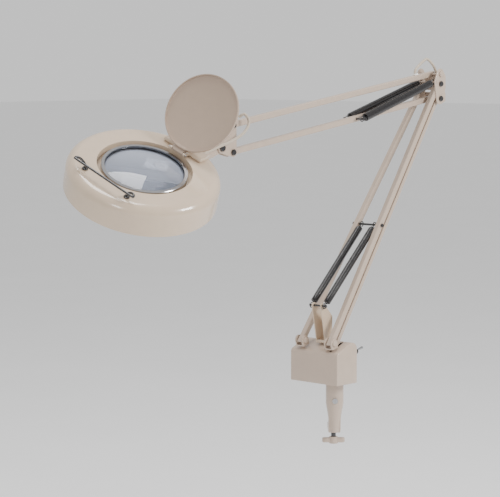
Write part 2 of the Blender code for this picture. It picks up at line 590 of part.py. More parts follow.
def build_light():
    """Reflector with its spring clips, the circular tube and the tube's plug."""
    reflector = build_reflector()
    bm = bmesh.new()
    sides, rings = 10, 30
    opening = math.radians(16)

    def wall(radius):
        rows = []
        for i in range(rings + 1):
            turn = math.pi + opening / 2 + (2 * math.pi - opening) * i / rings
            angles = [2 * math.pi * j / sides for j in range(sides)]
            reach = [(TUBE_MAJOR + radius * math.cos(a), radius * math.sin(a)) for a in angles]
            rows.append([bm.verts.new((r * math.cos(turn), r * math.sin(turn), z))
                         for r, z in reach])
        return rows

    outer, inner = wall(TUBE_R), wall(TUBE_R - 0.0010)
    strips = list(zip(outer, outer[1:])) + list(zip(inner, inner[1:]))
    strips += [(outer[0], inner[0]), (outer[-1], inner[-1])]
    for a, b in strips:
        for j in range(sides):
            bm.faces.new((a[j], a[(j + 1) % sides], b[(j + 1) % sides], b[j]))
    bmesh.ops.recalc_face_normals(bm, faces=bm.faces)
    mesh = bpy.data.meshes.new("circular_tube")
    bm.to_mesh(mesh)
    bm.free()
    shade(add_object("circular_tube", mesh, HEAD @ Matrix.Translation((0, 0, -0.0262)),
                     "tube_glass"))
    block("tube_plug", (0.0240, 0.0200, 0.0240), (-TUBE_MAJOR, 0, -0.0262), HEAD,
          "white_plastic", 0.0020)
    for index in range(3):
        turn = Matrix.Rotation(math.radians(120 * index), 4, "Z")
        at = HEAD @ turn @ Matrix.Translation((TUBE_MAJOR, 0, -0.0262))
        ring = [(TUBE_R + 0.0004, 0.0035), (TUBE_R + 0.0013, 0.0035), (TUBE_R + 0.0013, -0.0035),
                (TUBE_R + 0.0004, -0.0035)]
        clip = lathe(f"tube_clip_{index}", ring, at @ Matrix.Rotation(math.pi / 2, 4, "X"), None,
                     20, ring=True)
        boolean(clip, block(f"clip_mouth_{index}", (0.018, 0.010, 0.012), (0, 0, -0.0150), at, None))
        boolean(reflector, clip, "UNION")
        boolean(reflector, block(f"clip_stem_{index}", (0.003, 0.006, 0.0068), (0, 0, 0.0186), at,
                                 None), "UNION")


def build_top_fittings():
    """Raised hinge housing at the back, and the handle at the front."""
    outline = [(-0.0790, 0.0010), (-0.0775, 0.0045), (-0.0805, 0.0078), (-0.1000, 0.0064),
               (-0.1035, 0.0010)]
    housing = outline_plate("hinge_housing", [(x, z - 0.0007) for x, z in outline], 0.0760, HEAD,
                            "cream_paint", 0.0015)
    for side in (-1, 1):
        taper = block(f"housing_taper_{side}", (0.060, 0.030, 0.030), (0, 0, 0),
                      HEAD @ Matrix.Translation((-0.0930, side * 0.0525, 0))
                      @ Matrix.Rotation(side * math.radians(20), 4, "Z"), None)
        boolean(housing, taper)
    pin_at = HEAD @ Matrix.Translation((HINGE_X, 0, HINGE_Z))
    rod("hinge_pin", 0.0011, (0, -0.0175, 0), (0, 0.0175, 0), pin_at, "bright_steel", 12)
    ear_outline = hull([(0, 0, 0.0024), (-0.0110, -0.0012, 0.0020)], 14)
    for side, label in ((-1, "left"), (1, "right")):
        ear = outline_plate("hinge_ear_" + label, ear_outline, 0.0040,
                            pin_at @ Matrix.Translation((0, side * 0.0130, 0)), None)
        boolean(housing, ear, "UNION")
    drill(housing, 0.0014, (0, -0.03, 0), (0, 0.03, 0), pin_at)
    x, half, height = 0.0850, 0.0560, 0.0125
    route = [(x + 0.006, -half + 0.010, 0.0012), (x + 0.006, -half + 0.010, 0.0060),
             (x + 0.005, -half + 0.004, height - 0.001), (x + 0.002, -half, height),
             (x, -half + 0.008, height), (x, 0, height), (x, half - 0.008, height),
             (x + 0.002, half, height), (x + 0.005, half - 0.004, height - 0.001),
             (x + 0.006, half - 0.010, 0.0060), (x + 0.006, half - 0.010, 0.0012)]
    handle = wire("handle_rod", route, 0.0018, HEAD, "dark_steel")
    for side in (-1, 1):
        foot = lathe(f"handle_foot_{side}", [(0, 0.0030), (0.0038, 0.0030), (0.0046, 0.0018),
                                             (0.0046, GAP), (0, GAP)],
                     HEAD @ Matrix.Translation((x + 0.006, side * (half - 0.010), 0)), None, 12)
        boolean(handle, foot, "UNION")


def build_cover():
    """Lens cover in its own frame: X runs from the hinge across the disc, closed side down."""
    middle = COVER_R + 0.0060
    profile = [(0, 0.0020), (COVER_R - 0.0050, 0.0020), (COVER_R - 0.0012, 0.0010),
               (COVER_R, -0.0002), (COVER_R, -0.0040), (COVER_R - 0.0014, -0.0040),
               (COVER_R - 0.0014, -0.0008), (COVER_R - 0.0050, 0.0005), (0, 0.0005)]
    disc = lathe("lens_cover", profile, COVER @ Matrix.Translation((middle, 0, 0.0010)),
                 "tan_plastic", 32)
    tab = outline_plate("cover_tab", hull([(0, 0, 0.0024), (0.0085, 0.0014, 0.0010)], 14), 0.0200,
                        COVER, None)
    boolean(disc, tab, "UNION")
    drill(disc, 0.0014, (0, -0.03, 0), (0, 0.03, 0), COVER)


# ---------------------------------------------------------------- cord
def build_cord():
    """Lead from the base, along the right bar, over the elbow and on to the head."""
    gland = [(CORD_R + GAP, 0.0075), (0.0030, 0.0075), (0.0036, 0.0020), (0.0056, 0.0015),
             (0.0056, 0.0004), (CORD_R + GAP, 0.0004)]
    top = CORD_EXIT
    lathe("cord_gland", gland, BASE @ Matrix.Translation(top), "black_rubber", 12, ring=True)
    inner = 0.0072
    bar_start, bar_end = lateral(PIVOT, BASE_SPREAD), lateral(ELBOW, ELBOW_SPREAD)

    behind = Vector((-math.cos(LOWER_LEAN), 0, -math.sin(LOWER_LEAN)))

    def beside(distance):
        point = bar_start + (bar_end - bar_start) * (distance / ARM_LOWER)
        return point - Vector((0, inner, 0)) + 0.0052 * behind

    joint = beside(0.474)
    wire("cord_base", [top - Vector((0, 0, 0.010)), top + Vector((0, 0, 0.010)),
                       top + Vector((-0.004, 0.002, 0.022)), beside(0.066) - Vector((0.004, 0.0012, 0)),
                       beside(0.088)], CORD_R, BASE, "cord_jacket")
    wire("cord_lower", [beside(0.0885), beside(0.15), beside(0.25), beside(0.35), beside(0.42),
                        joint], CORD_R, BASE, "cord_jacket")
    over = [(0.0040, -0.0130), (-0.0088, -0.0010), (-0.0086, 0.0120), (0.0010, 0.0290),
            (0.0130, 0.0415), (0.0205, 0.0400)]
    heights = [inner + 0.0001] * 3 + [0.0082, 0.0045, 0.002]
    entry = ELBOW_TOP + 0.041 * UPPER_DIR
    normal = Vector((math.sin(UPPER_DROP), 0, math.cos(UPPER_DROP)))
    route = [joint + 0.0004 * LOWER_DIR]
    route += [ELBOW + Vector((x, y, z)) for (x, z), y in zip(over, heights)]
    route += [entry + 0.0140 * normal - Vector((0.0012, 0, 0)), entry + 0.0030 * normal]
    wire("cord_elbow", route, CORD_R, BASE, "cord_jacket")
    inside_start = entry + 0.006 * UPPER_DIR
    inside_end = HEAD_TOP - 0.012 * UPPER_DIR
    steps = [inside_start + (inside_end - inside_start) * (i / 12) for i in range(13)]
    wire("cord_upper", steps, CORD_R, BASE, "cord_jacket", smooth=False)
    offsets = ((-0.0120, 0.0078, 0.0120), (-0.0170, 0.0143, 0.0169), (-0.0220, 0.0198, 0.0055),
               (-0.0100, 0.0208, -0.0108), (0.0143, 0.0167, -0.0239), (0.0387, 0.0192, -0.0296))
    loop = [NECK.inverted() @ BASE @ (HEAD_TOP + Vector(p)) for p in offsets]
    loop += [Vector((0.0400, 0.0170, 0.0060)), Vector((0.0505, 0.0160, 0.0040))]
    wire("cord_head", loop, CORD_R, NECK, "cord_jacket")


clear_scene()
for build in (build_clamp, build_clamp_screw, build_housing, build_inside_base,
              build_spring_bracket, build_switch, build_lower_arm, build_springs, build_elbow,
              build_upper_arm, build_head_bracket, build_neck, build_shade, build_lens,
              build_light, build_top_fittings, build_cover, build_cord):
    build()
bpy.context.view_layer.update()
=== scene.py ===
import json
import math

import bmesh
import bpy
from mathutils import Matrix, Vector

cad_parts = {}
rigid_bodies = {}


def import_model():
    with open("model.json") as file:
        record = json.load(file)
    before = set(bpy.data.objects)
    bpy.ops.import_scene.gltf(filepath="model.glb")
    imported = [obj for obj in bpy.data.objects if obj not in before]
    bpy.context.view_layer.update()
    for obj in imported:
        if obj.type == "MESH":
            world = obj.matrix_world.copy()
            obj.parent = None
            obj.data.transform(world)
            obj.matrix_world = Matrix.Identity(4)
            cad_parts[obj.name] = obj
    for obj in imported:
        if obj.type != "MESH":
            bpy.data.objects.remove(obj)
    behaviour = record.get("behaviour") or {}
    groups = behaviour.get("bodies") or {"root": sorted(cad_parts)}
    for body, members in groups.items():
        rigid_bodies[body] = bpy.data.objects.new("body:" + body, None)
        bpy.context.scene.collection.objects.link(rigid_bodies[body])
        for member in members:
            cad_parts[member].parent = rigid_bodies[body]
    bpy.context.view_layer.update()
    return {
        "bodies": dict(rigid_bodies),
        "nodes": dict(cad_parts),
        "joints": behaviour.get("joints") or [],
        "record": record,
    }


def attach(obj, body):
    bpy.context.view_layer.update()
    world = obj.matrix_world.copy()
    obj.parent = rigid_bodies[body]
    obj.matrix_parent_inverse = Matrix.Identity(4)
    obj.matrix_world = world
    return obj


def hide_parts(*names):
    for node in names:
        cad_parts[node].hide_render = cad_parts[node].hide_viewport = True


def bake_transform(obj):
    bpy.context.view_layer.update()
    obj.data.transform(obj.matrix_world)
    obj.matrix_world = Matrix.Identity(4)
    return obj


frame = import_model()
BODY_OF = {node: body for body, nodes in frame["record"]["behaviour"]["bodies"].items()
           for node in nodes}
DETAIL = "_detail"               # a detailed piece is named after the CAD node it stands for

# ---------------------------------------------------------------- driving dimensions (metres)
GAP = 0.0003                     # clearance between pieces that rest on each other
HOUSING_WIDTH = 0.100            # along Y
HOUSING_FRONT, HOUSING_BACK = 0.026, -0.024
FRONT_HEIGHT, BACK_HEIGHT = 0.054, 0.067
WALL = 0.0015

ARM_LOWER, ARM_UPPER = 0.510, 0.505    # pivot to pivot
LOWER_LEAN, UPPER_DROP = 0.62, 0.15    # radians from vertical, and below horizontal
BASE_SPREAD, ELBOW_SPREAD = 0.031, 0.0145   # half distance between the lower bars
BOLT_R, HOLE_R, BOLT_HEAD_R, BOLT_HEAD_THICK = 0.0025, 0.0029, 0.0048, 0.0028
CHEEK = 0.0076                   # half the width between bolt heads, at the yokes and the head
LINK_DROP = 0.025                # main pivot to link pivot, at both ends
TOP_RISE = 0.0165                # elbow main pivot to the upper link's pivot
SPRING_R_LOWER, SPRING_R_UPPER = 0.0058, 0.0068
SPRING_HOOK, SPRING_GAUGE = 0.0085, 0.00095    # length of each end hook, and radius of the wire
LOWER_PIN_REACH, UPPER_PIN_REACH = 0.225, 0.205    # arm pivot to the pin of its springs
CORD_R = 0.00225

SHADE_R, SHADE_H, SHADE_ROUND = 0.115, 0.0446, 0.016
RECESS_R, LENS_R, RING_R = 0.0712, 0.0600, 0.0646
NECK_LENGTH = 0.1668             # pitch pivot to the middle of the shade
HEAD_PITCH, HEAD_ROLL = math.radians(14.4), math.radians(-27.0)
COVER_R, COVER_OPEN = 0.0605, math.radians(127.0)
TUBE_MAJOR, TUBE_R, TUBE_Z = 0.0885, 0.0145, -0.0262    # circular fluorescent tube
TOGGLE_RISE = 0.2126             # slope of the switched-on toggle, 12 degrees

CORD_EXIT = Vector((-0.0080, 0.0168, 0.0668))   # cord gland on top of the housing
CLAMP_YAW = 0.75                 # clamp's spine, about the spindle, from +X
SPINDLE_X, SPINDLE_Y = -0.014, 0.011
SPINE_R, JAW_REACH, SCREW_OFFSET = 0.0145, 0.052, 0.040
SCREW_R, PAD_TOP = 0.0042, -0.031
JAW_DROP = 0.018                 # housing underside to the upper jaw's underside
SET_SCREW_Z = -0.031             # height of the set screw on the spine

WELD = 0.00001                   # points closer than this are one
LATHE_FINENESS, HULL_FINENESS = 4, 3    # times the CAD model's steps
BEVEL_SEGMENTS, HOLE_STEPS = 3, 8
SMOOTH_ANGLE = math.radians(32)
PEEL_GRAIN, PEEL_DEPTH = 1500.0, 0.0002    # fine bump in the paint and plastic

# ---------------------------------------------------------------- frames and pivot points
# The origin is on the upper jaw's underside, over the screw; BASE is the housing's underside.
BASE = Matrix.Translation((SCREW_OFFSET * math.cos(CLAMP_YAW) - SPINDLE_X,
                           SCREW_OFFSET * math.sin(CLAMP_YAW) - SPINDLE_Y, JAW_DROP))
PIVOT = Vector((0.020, 0.0, 0.0675))
LOWER_DIR = Vector((-math.sin(LOWER_LEAN), 0.0, math.cos(LOWER_LEAN)))
UPPER_DIR = Vector((math.cos(UPPER_DROP), 0.0, -math.sin(UPPER_DROP)))
ELBOW = PIVOT + ARM_LOWER * LOWER_DIR
ELBOW_LOW = ELBOW - Vector((0, 0, LINK_DROP))
ELBOW_TOP = ELBOW + Vector((0, 0, TOP_RISE))
HEAD_LOW = ELBOW_LOW + ARM_UPPER * UPPER_DIR
HEAD_TOP = ELBOW_TOP + ARM_UPPER * UPPER_DIR
PITCH_PIVOT = HEAD_LOW + Vector((0.0245, 0, 0.0075))
LOWER_PIN = PIVOT + LOWER_PIN_REACH * LOWER_DIR
ANCHOR = Vector((0.0155, 0.0, 0.126))
UPPER_PIN = ELBOW_LOW + UPPER_PIN_REACH * UPPER_DIR
ELBOW_PIN = ELBOW + Vector((0.010, 0, 0.003))
NECK = BASE @ Matrix.Translation(PITCH_PIVOT) @ Matrix.Rotation(HEAD_PITCH, 4, "Y")
HEAD = (NECK @ Matrix.Rotation(HEAD_ROLL, 4, "X")
        @ Matrix.Translation((NECK_LENGTH, 0, SHADE_H / 2)))
HINGE_X, HINGE_Z = -0.0690, 0.0045
COVER = HEAD @ Matrix.Translation((HINGE_X, 0, HINGE_Z)) @ Matrix.Rotation(-COVER_OPEN, 4, "Y")
CLAMP = (BASE @ Matrix.Translation((SPINDLE_X, SPINDLE_Y, 0))
         @ Matrix.Rotation(math.pi + CLAMP_YAW, 4, "Z"))
UPRIGHT = Matrix.Rotation(math.pi / 2, 4, "X")    # turns an XY outline into an XZ one

# ---------------------------------------------------------------- materials
def surface(name, colour, roughness, metallic=0.0, varied=0.05, grain=60.0, bump=0.0,
            coat=0.0, transmission=0.0):
    """Procedural finish: slow colour and roughness changes, and a fine bump."""
    mat = bpy.data.materials.new(name)
    mat.use_nodes = True
    nodes, links = mat.node_tree.nodes, mat.node_tree.links
    bsdf = nodes["Principled BSDF"]
    place = nodes.new("ShaderNodeTexCoord")
    cloud = nodes.new("ShaderNodeTexNoise")
    cloud.inputs["Scale"].default_value = grain
    cloud.inputs["Detail"].default_value = 5.0
    links.new(place.outputs["Object"], cloud.inputs["Vector"])
    ramp = nodes.new("ShaderNodeValToRGB")
    ramp.color_ramp.elements[0].position, ramp.color_ramp.elements[1].position = 0.30, 0.72
    ramp.color_ramp.elements[0].color = (*[c * (1 - varied) for c in colour], 1)
    ramp.color_ramp.elements[1].color = (*[min(1.0, c * (1 + varied)) for c in colour], 1)
    links.new(cloud.outputs["Fac"], ramp.inputs["Fac"])
    links.new(ramp.outputs["Color"], bsdf.inputs["Base Color"])
    smear = nodes.new("ShaderNodeTexNoise")
    smear.inputs["Scale"].default_value = grain * 2.7
    smear.inputs["Detail"].default_value = 4.0
    links.new(place.outputs["Object"], smear.inputs["Vector"])
    spread = nodes.new("ShaderNodeMapRange")
    spread.inputs["To Min"].default_value = roughness * 0.8
    spread.inputs["To Max"].default_value = min(1.0, roughness * 1.25)
    links.new(smear.outputs["Fac"], spread.inputs["Value"])
    links.new(spread.outputs["Result"], bsdf.inputs["Roughness"])
    if bump:
        peel = nodes.new("ShaderNodeTexNoise")
        peel.inputs["Scale"].default_value = PEEL_GRAIN
        links.new(place.outputs["Object"], peel.inputs["Vector"])
        relief = nodes.new("ShaderNodeBump")
        relief.inputs["Strength"].default_value = bump
        relief.inputs["Distance"].default_value = PEEL_DEPTH
        links.new(peel.outputs["Fac"], relief.inputs["Height"])
        links.new(relief.outputs["Normal"], bsdf.inputs["Normal"])
    bsdf.inputs["Metallic"].default_value = metallic
    bsdf.inputs["Coat Weight"].default_value = coat
    bsdf.inputs["Transmission Weight"].default_value = transmission
    return mat


MATERIALS = {
    "cream_paint": surface("cream_paint", (0.600, 0.470, 0.345), 0.20, varied=0.02, bump=0.04,
                           coat=0.6),
    "beige_paint": surface("beige_paint", (0.500, 0.395, 0.315), 0.32, varied=0.03, bump=0.08,
                           coat=0.25),
    "tan_plastic": surface("tan_plastic", (0.430, 0.325, 0.250), 0.42, varied=0.02, bump=0.05),
    "dark_steel": surface("dark_steel", (0.022, 0.020, 0.021), 0.20, metallic=0.6, varied=0.2,
                          grain=300.0, coat=1.0),
    "bright_steel": surface("bright_steel", (0.42, 0.42, 0.43), 0.16, metallic=1.0, varied=0.06,
                            grain=200.0),
    # Painted reflection: the lens glass's lavender-blue tint and its broad blotches stand in for
    # what the lens reflects and shows through it, not the glass's own colour.
    "lens_glass": surface("lens_glass", (0.50, 0.54, 0.64), 0.03, varied=0.10, grain=9.0,
                          transmission=0.85),
    "tube_glass": surface("tube_glass", (0.90, 0.90, 0.89), 0.22, varied=0.02, coat=0.5),
    "black_rubber": surface("black_rubber", (0.02, 0.02, 0.022), 0.62, varied=0.2, bump=0.3),
    "white_plastic": surface("white_plastic", (0.82, 0.80, 0.76), 0.38, varied=0.03, bump=0.05),
    "cord_jacket": surface("cord_jacket", (0.50, 0.42, 0.33), 0.46, varied=0.05, bump=0.15),
}


# ---------------------------------------------------------------- helpers
CUTTERS = []
PIECES = {}


def add_object(name, data, placed, mat):
    """Link data as a piece of the lamp, or as a cutter where mat is None."""
    obj = bpy.data.objects.new(name if mat is None else name + DETAIL, data)
    obj.matrix_world = placed
    bpy.context.scene.collection.objects.link(obj)
    if mat is None:
        obj.hide_render = True
        CUTTERS.append(obj)
    else:
        data.materials.append(MATERIALS[mat])
        obj["finish"] = mat
        PIECES[name] = obj
    return obj


def bevel(obj, width):
    mod = obj.modifiers.new("bevel", "BEVEL")
    mod.width = width
    mod.segments = BEVEL_SEGMENTS
    mod.limit_method = "ANGLE"
    return obj


def block(name, size, centre, frame, mat, edge=0.0):
    bm = bmesh.new()
    bmesh.ops.create_cube(bm, size=1.0)
    bmesh.ops.scale(bm, vec=size, verts=bm.verts)
    mesh = bpy.data.meshes.new(name)
    bm.to_mesh(mesh)
    bm.free()
    obj = add_object(name, mesh, frame @ Matrix.Translation(centre), mat)
    return bevel(obj, edge) if edge else obj


def along(start, end):
    """Frame at start whose Z runs to end and whose Y stays near the lateral axis."""
    z_axis = (Vector(end) - Vector(start)).normalized()
    helper = Vector((0, 1, 0)) if abs(z_axis.y) < 0.9 else Vector((1, 0, 0))
    x_axis = helper.cross(z_axis).normalized()
    y_axis = z_axis.cross(x_axis)
    rotation = Matrix((x_axis, y_axis, z_axis)).transposed().to_4x4()
    return Matrix.Translation(start) @ rotation


def lathe(name, profile, frame, mat, steps=16, ring=False):
    """Turn (radius, height) points about Z; a ring profile is a closed loop."""
    mesh = bpy.data.meshes.new(name)
    count = len(profile)
    edges = [(i, i + 1) for i in range(count - 1)]
    if ring:
        edges.append((count - 1, 0))
    mesh.from_pydata([(r, 0, z) for r, z in profile], edges, [])
    obj = add_object(name, mesh, frame, mat)
    mod = obj.modifiers.new("turn", "SCREW")
    mod.axis = "Z"
    mod.steps = mod.render_steps = steps * LATHE_FINENESS
    mod.use_merge_vertices = True
    mod.merge_threshold = WELD
    mod.use_smooth_shade = True
    return obj


def rod(name, radius, start, end, frame, mat, steps=12):
    length = (Vector(end) - Vector(start)).length
    profile = [(0, length), (radius, length), (radius, 0), (0, 0)]
    return lathe(name, profile, frame @ along(start, end), mat, steps)


def bolt(name, start, end, frame, mat="dark_steel", head=BOLT_HEAD_R):
    """Shank from start to end with a head beyond each end, one turned solid."""
    length = (Vector(end) - Vector(start)).length
    thick = BOLT_HEAD_THICK
    profile = [(0, length + thick), (head * 0.8, length + thick), (head, length + thick * 0.7),
               (head, length), (BOLT_R, length), (BOLT_R, 0),
               (head, 0), (head, -thick), (0, -thick)]
    return lathe(name, profile, frame @ along(start, end), mat, 8)


def outline_plate(name, points, thickness, frame, mat, edge=0.0):
    """Flat XZ outline extruded along Y, both ways from the frame's plane."""
    curve = bpy.data.curves.new(name + "_outline", "CURVE")
    curve.dimensions = "2D"
    curve.fill_mode = "BOTH"
    curve.extrude = thickness / 2
    spline = curve.splines.new("POLY")
    spline.points.add(len(points) - 1)
    for point, (x, z) in zip(spline.points, points):
        point.co = (x, z, 0, 1)
    spline.use_cyclic_u = True
    return as_mesh(name, curve, frame @ UPRIGHT, mat, edge)


def as_mesh(name, curve, frame, mat, edge=0.0):
    """Turn a curve into a welded mesh object."""
    source = bpy.data.objects.new(name + "_curve", curve)
    bpy.context.scene.collection.objects.link(source)
    depsgraph = bpy.context.evaluated_depsgraph_get()
    mesh = bpy.data.meshes.new_from_object(source.evaluated_get(depsgraph))
    bpy.data.objects.remove(source, do_unlink=True)
    bm = bmesh.new()
    bm.from_mesh(mesh)
    bmesh.ops.remove_doubles(bm, verts=bm.verts, dist=WELD)
    bmesh.ops.dissolve_limit(bm, angle_limit=0.01, verts=bm.verts, edges=bm.edges)
    bmesh.ops.recalc_face_normals(bm, faces=bm.faces)
    bm.to_mesh(mesh)
    bm.free()
    mesh.materials.clear()
    obj = add_object(name, mesh, frame, mat)
    return bevel(obj, edge) if edge else obj


def hull(circles, steps=20):
    """Convex outline round a set of (x, z, radius) circles."""
    steps *= HULL_FINENESS
    points = sorted((x + r * math.cos(2 * math.pi * i / steps),
                     z + r * math.sin(2 * math.pi * i / steps))
                    for x, z, r in circles for i in range(steps))

    def half(sequence):
        chain = []
        for p in sequence:
            while len(chain) > 1 and turn(chain[-2], chain[-1], p) <= 1e-10:
                chain.pop()
            chain.append(p)
        return chain[:-1]

    def turn(a, b, c):
        return (b[0] - a[0]) * (c[1] - a[1]) - (b[1] - a[1]) * (c[0] - a[0])

    return half(points) + half(reversed(points))


def smooth_route(route, step=0.004):
    """Points along a Catmull-Rom curve through the route."""
    knots = [Vector(p) for p in route]
    knots = [2 * knots[0] - knots[1]] + knots + [2 * knots[-1] - knots[-2]]
    points = []
    for a, b, c, d in zip(knots, knots[1:], knots[2:], knots[3:]):
        count = max(2, round((c - b).length / step))
        for i in range(count):
            t = i / count
            points.append(0.5 * (2 * b + (c - a) * t + (2 * a - 5 * b + 4 * c - d) * t * t
                                 + (3 * b - 3 * c + d - a) * t ** 3))
    return points + [knots[-2]]


def wire(name, route, radius, frame, mat, smooth=True, sides=16):
    """Round wire or cord swept along a route, with flat closed ends."""
    points = smooth_route(route) if smooth else [Vector(p) for p in route]
    verts, faces, side = [], [], None
    for i, point in enumerate(points):
        ahead = (points[min(i + 1, len(points) - 1)] - points[max(i - 1, 0)]).normalized()
        side = ahead.orthogonal() if side is None else side - ahead * side.dot(ahead)
        side.normalize()
        up = ahead.cross(side)
        for j in range(sides):
            turn = 2 * math.pi * j / sides
            verts.append(point + radius * (math.cos(turn) * side + math.sin(turn) * up))
    for i in range(len(points) - 1):
        for j in range(sides):
            a, b = i * sides + j, i * sides + (j + 1) % sides
            faces.append((a, b, b + sides, a + sides))
    last = (len(points) - 1) * sides
    faces += [tuple(reversed(range(sides))), tuple(range(last, last + sides))]
    mesh = bpy.data.meshes.new(name)
    mesh.from_pydata(verts, [], faces)
    return add_object(name, mesh, frame, mat)


def boolean(obj, other, operation="DIFFERENCE"):
    mod = obj.modifiers.new(operation.lower(), "BOOLEAN")
    mod.operation = operation
    mod.solver = "EXACT"
    mod.object = other
    return obj


def drill(obj, radius, start, end, frame):
    """Cut a round hole from start to end."""
    return boolean(obj, rod(obj.name + "_hole", radius, start, end, frame, None, HOLE_STEPS))


def lateral(point, y):
    """The point moved to this Y."""
    return Vector((point[0], y, point[2]))


def build_clamp():
    top, jaw, low = -0.0043, -JAW_DROP, -0.087
    outline = [(-SPINE_R * 0.55, top - 0.0006), (JAW_REACH, top - 0.002), (JAW_REACH, jaw),
               (0.016, jaw), (0.0125, jaw - 0.004), (0.0125, -0.071), (0.016, -0.075),
               (JAW_REACH, -0.077), (JAW_REACH, low), (0.004, low), (-0.004, -0.078),
               (-0.008, -0.050)]
    frame = outline_plate("clamp_frame", outline, 0.020, CLAMP, "beige_paint", 0.0016)
    spine = lathe("clamp_spine", [(0, top), (SPINE_R, top), (SPINE_R, -0.036), (0.0105, -0.060),
                                  (0.0068, low + 0.002), (0, low + 0.002)], CLAMP, None, 22)
    boolean(frame, spine, "UNION")
    drill(frame, 0.0066, (0, 0, -0.060), (0, 0, 0.01), CLAMP)
    drill(frame, SCREW_R + 0.0004, (SCREW_OFFSET, 0, -0.10), (SCREW_OFFSET, 0, -0.060), CLAMP)
    drill(frame, 0.0030, (-0.030, 0, SET_SCREW_Z), (-0.002, 0, SET_SCREW_Z), CLAMP)
    screw = [(0, 0.0114), (0.0026, 0.0114), (0.0026, 0.0030), (0.0044, 0.0030), (0.0044, 0), (0, 0)]
    at_spine = CLAMP @ along((-0.0180, 0, SET_SCREW_Z), (0, 0, SET_SCREW_Z))
    slotted = lathe("set_screw", screw, at_spine, "bright_steel", 14)
    boolean(slotted, block("slot_cut", (0.012, 0.0011, 0.0024), (0, 0, 0), at_spine, None))
    disc = [(0.0068, -0.0003), (0.0210, -0.0003), (0.0215, -0.0010), (0.0215, -0.0040),
            (0.0068, -0.0040)]
    lathe("swivel_washer", disc, CLAMP, "beige_paint", 24, ring=True)


def build_clamp_screw():
    at = CLAMP @ Matrix.Translation((SCREW_OFFSET, 0, 0))
    knob_top = -0.100
    root, crest, pitch = SCREW_R * 0.86, SCREW_R, 0.004
    shank = [(0, PAD_TOP - 0.0035), (0.0026, PAD_TOP - 0.0035), (0.0026, PAD_TOP - 0.0090)]
    height = PAD_TOP - 0.0100
    while height > knob_top + 0.008:
        shank += [(root, height), (crest, height - pitch / 2)]
        height -= pitch
    shank += [(SCREW_R, knob_top + 0.004), (SCREW_R, knob_top - 0.010), (0, knob_top - 0.010)]
    lathe("clamp_screw", shank, at, "dark_steel", 12)
    at_knob = at @ Matrix.Translation((0, 0, knob_top - 0.0055))
    hub = outline_plate("clamp_knob", hull([(0, 0, 0.0075)], 16), 0.0115, at_knob @ UPRIGHT,
                        "beige_paint", 0.0012)
    wing_outline = hull([(0.0140, 0, 0.0048), (-0.0140, 0, 0.0048)], 14)
    wings = outline_plate("knob_wings", wing_outline, 0.0080,
                          at_knob @ Matrix.Rotation(math.pi / 2, 4, "Z") @ UPRIGHT, None, 0.0015)
    boolean(hub, wings, "UNION")
    drill(hub, SCREW_R + 2 * GAP, (0, 0, knob_top - 0.010 - GAP), (0, 0, knob_top + 0.01), at)
    pad = [(0, PAD_TOP), (0.0105, PAD_TOP), (0.0115, PAD_TOP - 0.0010), (0.0115, PAD_TOP - 0.0032),
           (0.0055, PAD_TOP - 0.0070), (0.0032, PAD_TOP - 0.0070), (0.0032, PAD_TOP - 0.0032),
           (0, PAD_TOP - 0.0032)]
    lathe("clamp_pad", pad, at, "bright_steel", 20)


def housing_outline(inset, bottom):
    """Side view of the housing, low in front and high behind, shrunk by inset."""
    front, back = HOUSING_FRONT - inset, HOUSING_BACK + inset
    r_front, r_back = 0.007 - inset * 0.6, 0.012 - inset * 0.6
    top_front = FRONT_HEIGHT - inset
    top_back = BACK_HEIGHT - inset
    return hull([(front - r_front, top_front - r_front, r_front),
                 (back + r_back, top_back - r_back, r_back),
                 (front - 0.001, bottom + 0.001, 0.001),
                 (back + 0.001, bottom + 0.001, 0.001)], 14)


def build_housing():
    shell = outline_plate("base_housing", housing_outline(0, 0), HOUSING_WIDTH, BASE,
                          "beige_paint", 0.0030)
    inner = outline_plate("housing_inside", housing_outline(WALL, -0.020),
                          HOUSING_WIDTH - 2 * WALL, BASE, None, 0.0020)
    boolean(shell, inner)
    slot = block("link_slot", (0.0438, 0.0066, 0.040), (-0.0001, BASE_SPREAD, 0.070), BASE, None)
    boolean(shell, slot)
    drill(shell, 0.0036, CORD_EXIT - Vector((0, 0, 0.020)), CORD_EXIT + Vector((0, 0, 0.010)), BASE)
    drill(shell, 0.0036, (-0.035, 0.042, 0.050), (-0.015, 0.042, 0.050), BASE)
    plate = block("base_plate", (0.0440, 0.0940, 0.0018), (0.001, 0, 0.0012), BASE, "dark_steel")
    drill(plate, 0.0046, (SPINDLE_X, SPINDLE_Y, -0.01), (SPINDLE_X, SPINDLE_Y, 0.01), BASE)
    spindle = [(0, 0.0085), (0.0042, 0.0085), (0.0042, 0.0060), (0.0074, 0.0060),
               (0.0074, 0.0024), (0.0042, 0.0024), (0.0042, 0.0000), (0.0060, 0.0000),
               (0.0060, -0.0545), (0.0050, -0.0555), (0, -0.0555)]
    at_spindle = BASE @ Matrix.Translation((SPINDLE_X, SPINDLE_Y, 0))
    lathe("spindle", spindle, at_spindle, "bright_steel", 16)
    for side, label in ((-1, "left"), (1, "right")):
        build_yoke(label, side)


def build_yoke(label, side):
    """Two ears either side of a lower bar, joined by a foot in front and by the pivot rivet."""
    y = side * BASE_SPREAD
    at = BASE @ Matrix.Translation((0, y, 0))
    foot = [(0.0236, 0.0587, 0.0016), (0.0125, 0.0615, 0.0016)]
    outline = hull([(PIVOT.x, PIVOT.z, 0.0078)] + foot, 24)
    ears = outline_plate("pivot_yoke_" + label, outline, 0.0158, at, "beige_paint")
    boolean(ears, block("yoke_gap_" + label, (0.060, 0.0118, 0.030), (0.015, 0, 0.0744), at, None))
    boolean(ears, block("yoke_link_gap_" + label, (0.030, 0.0118, 0.030), (0.0040, 0, 0.0600), at,
                        None))
    ends = (PIVOT.x, -CHEEK, PIVOT.z), (PIVOT.x, CHEEK, PIVOT.z)
    boolean(ears, bolt("pivot_rivet_" + label, *ends, at, None), "UNION")


